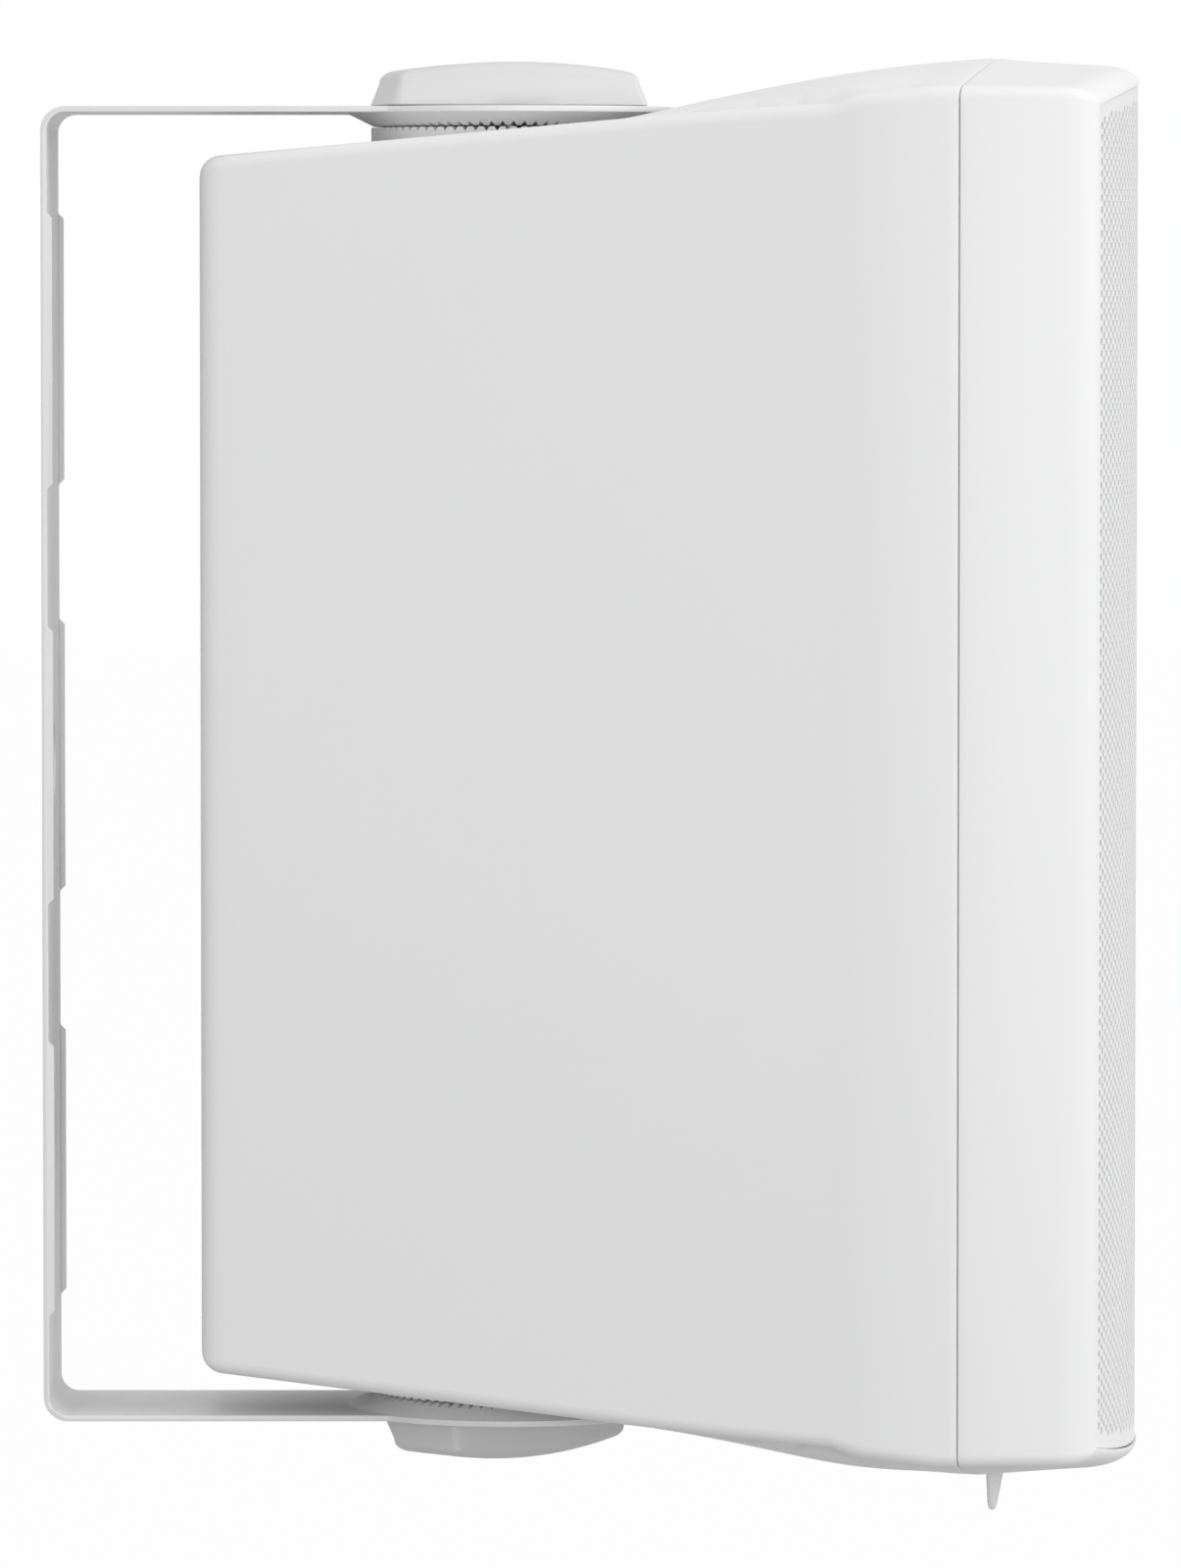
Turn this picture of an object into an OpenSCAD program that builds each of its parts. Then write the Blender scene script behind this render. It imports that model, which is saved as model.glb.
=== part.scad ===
// Wall loudspeaker in a U bracket, side swivel clamped by a knob above and below.
// Frame: Z up, the front faces -Y, the origin is the centre of the bracket's wall face.

/* [Swivel and bracket] */
// Distance from the wall face to the swivel axis
reach = 114; // [100:1:130]
// Width of the steel strap
strap_w = 56; // [48:1:60]
// Thickness of the steel strap
strap_t = 1.5; // [1:0.1:2.5]
// Outer radius of the strap's two bends
bend_r = 6; // [4:0.5:9]
// Radius of the round end of each leg
leg_end_r = 40.5; // [38:0.5:41.5]
// How far the folded lips stand forward of the spine
lip_h = 1.3; // [0.8:0.1:2.5]
// Thickness of the folded lips
lip_t = 1.5; // [1:0.1:2.5]
// Height of the outer end of the upper and lower lips above the middle
lip_outer_z = 135; // [120:1:140]
// Height of the inner end of the upper and lower lips above the middle
lip_inner_z = 67.5; // [60:1:80]
// Half length of the middle lips
lip_mid_z = 34; // [20:1:45]
// Diameter of the wall screw holes
wall_hole_d = 5.5; // [4:0.1:7]
// Spacing of the four wall screw holes across the strap
wall_hole_x = 30; // [24:1:34]
// Spacing of the four wall screw holes along the strap
wall_hole_z = 60; // [50:1:70]
// Spacing of the two wall slots along the strap
wall_slot_z = 200; // [180:1:220]
// Length of a wall slot
wall_slot_l = 14; // [8:0.5:20]
// Diameter of the cable hole in the middle of the spine
cable_hole_d = 18; // [12:1:24]

/* [Toothed couplings] */
// Outer radius of the toothed ring on the cabinet
ring_r = 34; // [30:0.5:35]
// Radius where the teeth start
tooth_in_r = 27; // [22:0.5:28]
// Number of teeth round each coupling
teeth = 80; // [60:2:90]
// Depth of the grooves between the teeth
tooth_h = 1.1; // [1:0.1:2]
// Height of the cabinet ring above its seat, teeth included
ring_h = 6.3; // [5:0.1:8]
// Gap between the tips of the two rings at rest
tooth_gap = 0.3; // [0.2:0.05:0.6]
// Height of the bracket's toothed disc, teeth included
disc_h = 3.25; // [3:0.05:5]
// Radius of the bracket's toothed disc where it meets the strap
disc_top_r = 40; // [38:0.5:41]
// Radius of the bracket's toothed disc at its tooth tips
disc_tip_r = 33.4; // [31:0.2:36]
// Radius on which the disc's three pegs stand
peg_circle_r = 22; // [16:0.5:25]
// Radius of a disc peg
disc_peg_r = 2.4; // [2:0.1:3]

/* [Clamp knobs] */
// Length of a knob at its foot
knob_l = 65.2; // [50:0.2:70]
// Width of a knob at its foot
knob_w = 26; // [20:1:34]
// Height of a knob
knob_h = 10.8; // [10:0.2:14]
// Draft of the knob's sides
knob_draft = 15; // [5:1:18]
// Radius of the knob's domed top along its length
knob_dome_r = 175; // [120:5:300]
// Turn of the upper knob from the front to back line
knob_turn_top = 14; // [0:1:45]
// Turn of the lower knob from the front to back line
knob_turn_bottom = 47; // [0:1:60]
// Radius of the threaded stud
stud_r = 4; // [3:0.5:5]
// Outer radius of the steel washer under a knob
washer_r = 10; // [9:0.5:11.5]
// Thickness of that washer
washer_t = 1.5; // [1:0.1:2]

/* [Cabinet] */
// Distance from the swivel axis back to the cabinet's rear face
cab_back = 75.3; // [70:0.5:85]
// Width of the rear face
rear_w = 62.6; // [56:0.5:80]
// Angle of each flank from the front to back line
flank_angle = 19.85; // [16:0.25:21]
// Forward distance from the swivel axis at which the flanks start to bend
flank_end = 80; // [70:1:90]
// Forward distance of the widest place
widest_f = 124; // [115:1:132]
// Half height of the side edge at the rear
rear_hh = 148.7; // [146:0.5:152]
// Slope of the top and bottom of the flanks
top_slope = 4.94; // [4:0.1:5.5]
// Step up of the side edge just behind the seam
edge_step = 2.7; // [0:0.1:4]
// Half height of the crown at the seam
crown_z = 173; // [170:0.5:178]
// Forward distance at which the crown starts to rise
crown_start = 26; // [20:1:34]
// Forward distance of the seam at the middle plane
seam_f = 120.4; // [116:0.2:124]
// Radius of the bow of the seam
bow_r = 340; // [280:10:420]
// Wall of the moulded cabinet
wall = 3.5; // [2.5:0.1:4.5]
// Rounding of the rear edges
rear_round = 5; // [3:0.5:7]
// Rounding of the long side edges
edge_round = 3.5; // [2:0.5:5]
// Gap of the seam between the cabinet and the bezel
seam_gap = 0.5; // [0.3:0.1:1]
// Radius of the round recess below each coupling
recess_r = 42.5; // [42:0.5:46]

/* [Front] */
// Depth of the bezel from the seam to the front at the middle plane
bezel_depth = 34.4; // [30:0.2:40]
// Share by which the front is bowed more than the seam
front_bow = 0.16; // [0:0.01:0.3]
// Wall of the bezel
bezel_wall = 3.4; // [2.5:0.1:4]
// Rounding of the bezel's front lip, measured across its edge
lip_round = 3; // [1.5:0.5:3]
// Depth of that rounding, measured from front to back
lip_depth = 8; // [3:0.5:10]
// How far the baffle's face stands ahead of the seam
baffle_ahead = 5.6; // [4:0.1:8]
// Thickness of the baffle
baffle_t = 9; // [8:0.5:12]
// Thickness of the perforated sheet
grille_t = 1.2; // [0.8:0.1:1.6]
// Gap round the grille
grille_gap = 0.9; // [0.5:0.1:1.5]
// Spacing of the grille's holes up a column
hole_pitch = 8; // [7:0.5:12]
// Diameter of a grille hole
hole_d = 5.2; // [3:0.1:6]
// Length of the peg below the bezel
peg_l = 13; // [8:0.5:16]
// Thickness of that peg
peg_t = 3.2; // [2:0.1:5]

/* [Drivers] */
// Height of the woofer's axis
woofer_z = -72; // [-76:0.5:-70]
// Outer radius of the woofer's flange
woofer_r = 81; // [76:0.5:83]
// Height of the tweeter's axis
tweeter_z = 92; // [88:0.5:98]
// Outer radius of the tweeter's faceplate
tweeter_r = 48; // [44:0.5:50]
// Sideways distance of the two port tubes
port_x = 50; // [48:0.5:53]
// Height of the two port tubes
port_z = 38; // [36:0.5:42]
// Inner radius of a port tube
port_r = 17.5; // [14:0.5:18]
// Length of a port tube
port_l = 78; // [60:1:90]

/* [Hidden] */
$fn = 72;

white = [0.88, 0.88, 0.88];
steel_grey = [0.62, 0.63, 0.65];
seal_grey = [0.5, 0.5, 0.5];
black = [0.12, 0.12, 0.13];
brass = [0.78, 0.66, 0.36];
part_gap = 0.3;
thread_gap = 0.06;

// The stack of the upper swivel, from the recess floor up to the leg
recess_depth = 1.7;
tan_top = tan(top_slope);
edge_ref_f = -72;
recess_z = rear_hh + tan_top * (-recess_r - edge_ref_f) - recess_depth;
ring_tip_z = recess_z + ring_h;
disc_tip_z = ring_tip_z + tooth_gap;
leg_in_z = disc_tip_z + disc_h;
leg_out_z = leg_in_z + strap_t;

// Plan of the cabinet: a straight flank, then an arc through the widest place
flank_x = rear_w / 2 + tan(flank_angle) * (flank_end + cab_back);
flank_r = (widest_f - flank_end) / sin(flank_angle);
bow_start = flank_end;
crown_steps = 9;
front_f = seam_f + bezel_depth;
front_r = bow_r / (1 + front_bow);
baffle_f = seam_f + baffle_ahead;

function smooth(t) = let (u = min(max(t, 0), 1)) u * u * (3 - 2 * u);
function bow(x) = x * x / (2 * bow_r);
function bow_share(f) = smooth((f - bow_start) / (seam_f - bow_start))
  + front_bow * max(f - seam_f, 0) / bezel_depth;

// Half width of the cabinet at a distance forward of the swivel axis
function side_x(f) = f < flank_end
  ? rear_w / 2 + tan(flank_angle) * (f + cab_back)
  : flank_x + flank_r * (cos(asin((widest_f - f) / flank_r)) - cos(flank_angle));

// Where a bowed section reaches the side, as a distance forward of the axis
function side_f(f) = f - bow(side_x(f)) * bow_share(f);

// Half height of the side edge: a straight slope, an easing and a small step up
edge_ease_f = 46;
edge_step_f = 84.6;
edge_flat_f = 102;
edge_ease = 0.8;
function edge_z(f) = rear_hh + tan_top * (min(f, edge_step_f) - edge_ref_f)
  - edge_ease * smooth((f - edge_ease_f) / (edge_step_f - edge_ease_f))
  + edge_step * smooth((f - edge_step_f) / (edge_flat_f - edge_step_f));

// Half height of the crown's ridge, highest at the seam
crown_drop = 11.9;
crown_run = 77;
crown_power = 1.4;
front_step = 1.2;
front_step_run = 9;
front_drop = 0.0008;
function ridge_z(f) = f < seam_f
  ? crown_z - crown_drop * pow((seam_f - f) / crown_run, crown_power)
  : crown_z - front_step * (1 - exp((seam_f - f) / front_step_run))
    - front_drop * pow(f - seam_f, 2);

// The crown starts narrow with hollow flanks and ends as a full arch
crown_start_x = 14;
crown_wide_f = 102;
arch_power = 2.2;
function crown_x(f, w) = crown_start_x
  + (w - crown_start_x) * smooth((f - crown_start) / (crown_wide_f - crown_start));
function crown_shape(u, t) = (1 - t) * pow(cos(90 * u), 2) + t * (1 - pow(u, arch_power));
function top_z(x, f) = let (
    s = side_f(f),
    u = min(abs(x) / crown_x(f, side_x(s)), 1),
    rise = max(ridge_z(f) - edge_z(s), 0)
  ) edge_z(s) + rise * crown_shape(u, smooth((f - crown_start) / (seam_f - crown_start)));

// One quarter of a section at distance f, moved inwards by d
function quarter(f, d) = let (
    w = side_x(side_f(f)) - d,
    r = max(edge_round - d, 0.8),
    end_z = top_z(w + d - r, f) - d
  ) concat(
    [for (i = [0:crown_steps]) let (x = (w - r) * i / crown_steps)
      [x, top_z(x * (w + d - r) / (w - r), f) - d]],
    [for (a = [60, 30, 0]) [w - r + r * cos(a), end_z - r + r * sin(a)]]
  );
function section(f, d) = let (q = quarter(f, d), m = len(q)) concat(
    q,
    [for (i = [m - 1:-1:0]) [q[i][0], -q[i][1]]],
    [for (i = [1:m - 1]) [-q[i][0], -q[i][1]]],
    [for (i = [m - 1:-1:1]) [-q[i][0], q[i][1]]]
  );
function ring_at(f, d) = [for (p = section(f, d))
  [p[0], -reach - f + bow(p[0]) * bow_share(f), p[1]]];

// A skin through rings of points: closed by end caps, or run back into itself
module loft(rings, looped) {
  n = len(rings[0]);
  m = len(rings);
  middles = looped ? [] : [for (k = [0, m - 1]) [0, rings[k][0][1], 0]];
  points = concat([for (ring = rings) for (p = ring) p], middles);
  last = looped ? m - 1 : m - 2;
  sides = [for (i = [0:last]) for (j = [0:n - 1]) let (
      a = i * n + j,
      b = i * n + (j + 1) % n,
      c = ((i + 1) % m) * n + (j + 1) % n,
      d = ((i + 1) % m) * n + j
    ) each [[a, b, c], [a, c, d]]];
  caps = looped ? [] : [for (j = [0:n - 1]) each [
    [(j + 1) % n, j, m * n],
    [(m - 1) * n + j, (m - 1) * n + (j + 1) % n, m * n + 1]
  ]];
  polyhedron(points = points, faces = concat(sides, caps), convexity = 10);
}

// Places a child whose Z axis points to the front at a distance forward of the axis
module forward_at(f, x = 0, z = 0) {
  translate([x, -reach - f, z]) rotate([90, 0, 0]) children();
}

module at_pivot() {
  translate([0, -reach, 0]) children();
}

module mirrored_down() {
  mirror([0, 0, 1]) children();
}

module tube(r_out, r_in, h) {
  difference() {
    cylinder(r = r_out, h = h);
    translate([0, 0, -1]) cylinder(r = r_in, h = h + 2);
  }
}

// Bracket: one steel strap, folded twice, with round ends at the swivel axis

module strap_profile() {
  depth = reach;
  intersection() {
    difference() {
      translate([-depth * 2, -leg_out_z]) rounded(depth * 2, 2 * leg_out_z, bend_r);
      translate([-depth * 2, -leg_in_z])
        rounded(depth * 2 - strap_t, 2 * leg_in_z, bend_r - strap_t);
    }
    translate([-depth, -leg_out_z - 1]) square([depth + 1, 2 * leg_out_z + 2]);
  }
}

module rounded(w, h, r) {
  union() {
    translate([r, 0]) square([w - 2 * r, h]);
    translate([0, r]) square([w, h - 2 * r]);
    for (x = [r, w - r]) for (z = [r, h - r]) translate([x, z]) circle(r = r);
  }
}

module lip(z0, z1) {
  ramp = lip_h;
  for (side = [-1, 1])
    translate([side * (strap_w - lip_t) / 2 - lip_t / 2, 0, 0])
      rotate([90, 0, 90]) linear_extrude(height = lip_t)
        polygon([
          [-strap_t / 2, z0], [-strap_t, z0], [-strap_t - lip_h, z0 + ramp],
          [-strap_t - lip_h, z1 - ramp], [-strap_t, z1], [-strap_t / 2, z1]
        ]);
}

module wall_drill(d) {
  translate([0, 1, 0]) rotate([90, 0, 0]) cylinder(d = d, h = strap_t + 2);
}

module bracket() {
  stud_hole_r = stud_r + 0.5;
  slot_straight = wall_slot_l - wall_hole_d;
  color(white) difference() {
    union() {
      translate([-strap_w / 2, 0, 0]) rotate([90, 0, 90])
        linear_extrude(height = strap_w) strap_profile();
      for (z = [leg_in_z, -leg_out_z])
        translate([0, -reach, z]) cylinder(r = leg_end_r, h = strap_t, $fn = 120);
      lip(lip_inner_z, lip_outer_z);
      lip(-lip_mid_z, lip_mid_z);
      lip(-lip_outer_z, -lip_inner_z);
    }
    at_pivot() {
      translate([0, 0, -leg_out_z - 1]) cylinder(r = stud_hole_r, h = 2 * leg_out_z + 2);
      for (a = [30, 150, 270]) rotate([0, 0, a])
        translate([peg_circle_r, 0, -leg_out_z - 1])
          cylinder(r = disc_peg_r + thread_gap, h = 2 * leg_out_z + 2);
    }
    for (x = [-1, 1]) for (z = [-1, 1])
      translate([x * wall_hole_x / 2, 0, z * wall_hole_z / 2]) wall_drill(wall_hole_d);
    for (z = [-1, 1]) translate([0, 0, z * wall_slot_z / 2]) {
      for (end = [-1, 1]) translate([0, 0, end * slot_straight / 2]) wall_drill(wall_hole_d);
      translate([-wall_hole_d / 2, -strap_t - 1, -slot_straight / 2])
        cube([wall_hole_d, strap_t + 2, slot_straight]);
    }
    wall_drill(cable_hole_d);
  }
}

// Face couplings: radial teeth cut by V grooves, the middle recessed below their roots

root_relief = 0.2;
module tooth_grooves(r_from, r_to, turn) {
  groove_w = 1.5;
  over = 0.5;
  half = groove_w / 2 * (1 + over / tooth_h);
  for (i = [0:teeth - 1]) rotate([0, 0, (i + turn) * 360 / teeth])
    translate([r_from, 0, 0]) rotate([90, 0, 90])
      linear_extrude(height = r_to - r_from)
        polygon([[-half, over], [half, over], [0, -tooth_h]]);
}

module cabinet_ring() {
  at_pivot() difference() {
    translate([0, 0, recess_z]) cylinder(r = ring_r, h = ring_h, $fn = 120);
    translate([0, 0, recess_z - 1]) cylinder(r = stud_r + 1, h = ring_h + 2);
    translate([0, 0, ring_tip_z - tooth_h - root_relief])
      cylinder(r = tooth_in_r, h = tooth_h + 1, $fn = 120);
    translate([0, 0, ring_tip_z]) tooth_grooves(tooth_in_r - 1, ring_r + 1, 0);
  }
}

module bracket_disc() {
  at_pivot() difference() {
    union() {
      translate([0, 0, disc_tip_z])
        cylinder(r1 = disc_tip_r, r2 = disc_top_r, h = disc_h, $fn = 120);
      for (a = [30, 150, 270]) rotate([0, 0, a])
        translate([peg_circle_r, 0, leg_in_z - 1]) cylinder(r = disc_peg_r, h = strap_t + 1);
    }
    translate([0, 0, disc_tip_z - 1]) cylinder(r = stud_r + 1, h = disc_h + 2);
    translate([0, 0, disc_tip_z - 1])
      cylinder(r = tooth_in_r, h = tooth_h + root_relief + 1, $fn = 120);
    translate([0, 0, disc_tip_z]) mirror([0, 0, 1])
      tooth_grooves(tooth_in_r - 1, disc_top_r + 1, 0.5);
  }
}

module bracket_disc_top() {
  color(white) bracket_disc();
}

module bracket_disc_bottom() {
  color(white) mirrored_down() bracket_disc();
}

module cabinet_ring_top() {
  color(white) cabinet_ring();
}

module cabinet_ring_bottom() {
  color(white) mirrored_down() cabinet_ring();
}

// Brass inserts that the knobs screw into

insert_r = 7;
insert_l = 16;
module insert() {
  at_pivot() translate([0, 0, recess_z - insert_l]) tube(insert_r, stud_r + thread_gap, insert_l);
}

module insert_top() {
  color(brass) insert();
}

module insert_bottom() {
  color(brass) mirrored_down() insert();
}

// Clamp knobs: a moulded bar with drafted sides and a long dome, on a steel stud

knob_z = leg_out_z + part_gap;
knob_corner_r = 2.4;
knob_rim_r = 3;
knob_side_bow = 0.6;
washer_seat = 0.2;

function knob_corner(x, y, r, a0) =
  [for (k = [0:4]) [x + r * cos(a0 - k * 22.5), y + r * sin(a0 - k * 22.5)]];

function knob_outline(inset) = let (
    r = max(knob_corner_r - inset * 0.4, 1),
    hl = knob_l / 2 - inset,
    hw = knob_w / 2 - inset,
    x = hw - r,
    y = hl - r,
    side = [for (t = [0.8, 0.5, 0.2, -0.2, -0.5, -0.8]) [hw, t * y]],
    outline = concat(
      knob_corner(x, y, r, 90), side, knob_corner(x, -y, r, 0),
      knob_corner(-x, -y, r, -90), -side, knob_corner(-x, y, r, 180)
    )
  ) [for (p = outline) [p[0] + sign(p[0]) * knob_side_bow * (1 - pow(p[1] / hl, 2)), p[1]]];

function knob_level(inset, share) = [for (p = knob_outline(inset))
  [p[0], p[1], knob_h * share - p[1] * p[1] / (2 * knob_dome_r) * share]];

function knob_centre(scale_by) = [for (p = knob_outline(knob_side_in + knob_rim_r))
  [p[0] * scale_by, p[1] * scale_by,
    knob_h - p[1] * p[1] * scale_by * scale_by / (2 * knob_dome_r)]];

knob_side_h = knob_h - knob_rim_r;
knob_side_in = tan(knob_draft) * knob_side_h;

module knob_body() {
  rim = [for (a = [20, 45, 70]) knob_level(
    knob_side_in + knob_rim_r * (1 - cos(a)),
    (knob_side_h + knob_rim_r * sin(a)) / knob_h)];
  loft(concat(
    [knob_level(0, 0)],
    [knob_level(knob_side_in, knob_side_h / knob_h)],
    rim,
    [knob_centre(1), knob_centre(0.7), knob_centre(0.4), knob_centre(0.08)]
  ), false);
}

module knob(turn) {
  at_pivot() translate([0, 0, knob_z]) difference() {
    rotate([0, 0, turn]) mirror([1, 0, 0]) knob_body();
    translate([0, 0, -1]) cylinder(r = washer_r + 0.5, h = 1 + washer_t + washer_seat);
    translate([0, 0, -1]) cylinder(r = stud_r + thread_gap, h = knob_h - 2);
  }
}

module knob_stud() {
  stud_top_z = knob_z + knob_h - 3.2;
  stud_end_z = recess_z - insert_l + 1;
  at_pivot() translate([0, 0, stud_end_z]) cylinder(r = stud_r, h = stud_top_z - stud_end_z);
}

module washer() {
  at_pivot() translate([0, 0, knob_z]) tube(washer_r, stud_r + 0.3, washer_t);
}

module washer_top() {
  color(steel_grey) washer();
}

module washer_bottom() {
  color(steel_grey) mirrored_down() washer();
}

module knob_top() {
  color(white) knob(knob_turn_top);
}

module knob_bottom() {
  color(white) mirrored_down() knob(knob_turn_bottom);
}

module knob_stud_top() {
  color(steel_grey) knob_stud();
}

module knob_stud_bottom() {
  color(steel_grey) mirrored_down() knob_stud();
}

// Cabinet shell: a lofted moulding, open at the front, with swivel bosses inside

shell_f = seam_f - seam_gap / 2;
outer_f = [for (s = [0, 0.2, 0.33, 0.43, 0.53, 0.62, 0.7, 0.77, 0.83, 0.89, 0.95, 1]) s * shell_f];
inner_f = [for (s = [1, 0.9, 0.8, 0.7, 0.55, 0.33, 0]) s * shell_f];
rear_angles = [0, 30, 60, 90];

module shell_skin() {
  rounded_rear = [for (a = rear_angles)
    ring_at(-cab_back + rear_round * (1 - sin(90 - a)), rear_round * (1 - sin(a)))];
  outer = [for (f = outer_f) ring_at(f, 0)];
  inner = [for (f = inner_f) ring_at(f, wall)];
  inner_rear = [ring_at(-cab_back + wall, wall)];
  loft(concat(rounded_rear, outer, inner, inner_rear), false);
}

boss_wall = 3.5;
boss_floor = 5;
boss_below_skin = 1.2;
module swivel_boss() {
  boss_r = recess_r + boss_wall;
  slope_z = rear_hh + tan_top * (-edge_ref_f) - boss_below_skin;
  at_pivot() {
    difference() {
      translate([0, 0, recess_z - boss_floor]) cylinder(r = boss_r, h = 2 * boss_floor + 6);
      translate([0, 0, slope_z]) rotate([-top_slope, 0, 0])
        translate([-boss_r * 2, -boss_r * 2, 0]) cube([boss_r * 4, boss_r * 4, 40]);
    }
    translate([0, 0, recess_z - insert_l - 3]) cylinder(r = insert_r + 5, h = insert_l);
  }
}

module swivel_cut() {
  at_pivot() {
    translate([0, 0, recess_z]) cylinder(r = recess_r, h = 30, $fn = 120);
    translate([0, 0, recess_z - insert_l]) cylinder(r = insert_r + thread_gap, h = insert_l + 1);
  }
}

screw_x = 80;
screw_rows = [-146, 0, 146];
screw_boss_r = 5;
screw_r = 2;
screw_boss_l = 34;
module screw_places() {
  for (x = [-1, 1]) for (z = screw_rows) forward_at(0, x * screw_x, z) children();
}

cup_w = 38;
cup_h = 84;
cup_z = -62;
cup_flange = 4;
cup_flange_t = 2;
pad_t = 4;
terminal_screw_r = 1.1;
terminal_screw_l = 5;

// The two screws of the terminal cup, above and below its opening
module terminal_screw_places() {
  for (z = [-1, 1])
    translate([0, -reach + cab_back - 0.2, cup_z + z * (cup_h / 2 + cup_flange / 2 + 0.1)])
      rotate([-90, 0, 0]) children();
}

module shell_bosses() {
  for (x = [-1, 1]) for (z = screw_rows)
    forward_at(baffle_f - baffle_t - part_gap - screw_boss_l, x * screw_x, z)
      cylinder(r = screw_boss_r, h = screw_boss_l, $fn = 32);
  translate([-cup_w / 2 - 8, -reach + cab_back - wall - pad_t, cup_z - cup_h / 2 - 8])
    cube([cup_w + 16, pad_t + 1, cup_h + 16]);
}

module cabinet_shell() {
  color(white) difference() {
    union() {
      shell_skin();
      swivel_boss();
      mirrored_down() swivel_boss();
      shell_bosses();
    }
    swivel_cut();
    mirrored_down() swivel_cut();
    for (x = [-1, 1]) for (z = screw_rows)
      forward_at(baffle_f - baffle_t - 30, x * screw_x, z) cylinder(r = screw_r, h = 31, $fn = 24);
    cup_opening();
    terminal_screw_places() translate([0, 0, -terminal_screw_l - 0.5])
      cylinder(r = terminal_screw_r + thread_gap, h = terminal_screw_l, $fn = 24);
    bottom_peg(part_gap);
  }
}

module cup_opening() {
  y_rear = -reach + cab_back;
  translate([-cup_w / 2, y_rear - 20, cup_z - cup_h / 2]) cube([cup_w, 30, cup_h]);
  translate([-cup_w / 2 - cup_flange, y_rear - cup_flange_t - 0.2, cup_z - cup_h / 2 - cup_flange])
    cube([cup_w + 2 * cup_flange, 10, cup_h + 2 * cup_flange]);
}

// Front bezel: one moulding with its baffle, driver openings and bottom peg

bezel_f = seam_f + seam_gap / 2;

module bezel_skin() {
  flat = 0.4;
  r = min(lip_round, bezel_wall - flat);
  lip_f = front_f - lip_depth;
  outer = [for (s = [0, 0.12, 0.3, 0.65]) ring_at(bezel_f + s * (lip_f - bezel_f), 0)];
  lip_rings = [for (a = [0, 20, 40, 60, 75, 90])
    ring_at(lip_f + lip_depth * sin(a), r * (1 - cos(a)))];
  inner = [for (s = [1, 0.68, 0.34, 0]) ring_at(bezel_f + s * (front_f - bezel_f), bezel_wall)];
  loft(concat(outer, lip_rings, inner), true);
}

module slab(f, t, section_f, d) {
  forward_at(f, 0, 0) linear_extrude(height = t) polygon(section(section_f, d));
}

woofer_hole_r = woofer_r - 9;
woofer_screw_circle = woofer_r - 4.5;
woofer_screw_r = 1.6;
tweeter_hole_r = tweeter_r - 8;
tweeter_screw_circle = tweeter_r - 4.2;
tweeter_screw_r = 1.6;

// Repeats a child at each of a driver's screws
module round_driver(count, circle_r, start_a) {
  for (i = [0:count - 1]) rotate([0, 0, start_a + i * 360 / count])
    translate([circle_r, 0, 0]) children();
}

module at_woofer(h = 0) {
  forward_at(baffle_f + h, 0, woofer_z) children();
}

module at_tweeter(h = 0) {
  forward_at(baffle_f + h, 0, tweeter_z) children();
}

module woofer_screw_places(h = 0) {
  at_woofer(h) round_driver(8, woofer_screw_circle, 22.5) children();
}

module tweeter_screw_places(h = 0) {
  at_tweeter(h) round_driver(4, tweeter_screw_circle, 45) children();
}

// The baffle is keyed into the bezel's wall and reaches back into the shell's mouth
module baffle_plate() {
  key = 1.2;
  overlap = 0.5;
  plate_back_f = bezel_f + part_gap;
  spigot_back_f = baffle_f - baffle_t;
  slab(plate_back_f, baffle_f - plate_back_f, baffle_f, bezel_wall - key);
  slab(spigot_back_f, plate_back_f + overlap - spigot_back_f, seam_f - 14, wall + 1);
}

module bottom_peg(grow) {
  root_z = -(crown_z - 1.5);
  tip_z = -(crown_z + peg_l);
  root_y0 = 2.5;
  root_y1 = 2.6;
  tip_y0 = 1.9;
  tip_y1 = 0.1;
  translate([-peg_t / 2 - grow, -reach - seam_f, 0]) rotate([90, 0, 90])
    linear_extrude(height = peg_t + 2 * grow)
      polygon([
        [root_y0 + grow, root_z + 6], [root_y0 + grow, root_z], [tip_y0 + grow, tip_z + 0.6],
        [tip_y0 - 0.4, tip_z], [tip_y1 + 0.4, tip_z], [tip_y1 - grow, tip_z + 0.6],
        [-root_y1 - grow, root_z], [-root_y1 - grow, root_z + 6]
      ]);
}

module front_bezel() {
  color(white) difference() {
    union() {
      bezel_skin();
      baffle_plate();
      bottom_peg(0);
    }
    forward_at(baffle_f - 20, 0, woofer_z) cylinder(r = woofer_hole_r, h = 30, $fn = 120);
    forward_at(baffle_f - 20, 0, tweeter_z) cylinder(r = tweeter_hole_r, h = 30, $fn = 120);
    for (x = [-1, 1]) forward_at(baffle_f - 20, x * port_x, port_z)
      cylinder(r = port_r + 2.6, h = 30);
    for (x = [-1, 1]) for (z = screw_rows) forward_at(baffle_f - 20, x * screw_x, z)
      cylinder(r = screw_r + 0.4, h = 30, $fn = 24);
    woofer_screw_places(-7) cylinder(r = woofer_screw_r + thread_gap, h = 8, $fn = 24);
    tweeter_screw_places(-8) cylinder(r = tweeter_screw_r + thread_gap, h = 9, $fn = 24);
  }
}

module seam_gasket() {
  inset = 1;
  width = 1.6;
  half = (seam_gap - 0.2) / 2;
  color(seal_grey) difference() {
    loft([
      ring_at(seam_f - half, inset), ring_at(seam_f + half, inset),
      ring_at(seam_f + half, inset + width), ring_at(seam_f - half, inset + width)
    ], true);
    bottom_peg(part_gap);
  }
}

module pan_screw(r, head_r, head_h, l) {
  translate([0, 0, -l]) cylinder(r = r, h = l + 0.1, $fn = 24);
  cylinder(r = head_r, h = head_h, $fn = 32);
}

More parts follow.
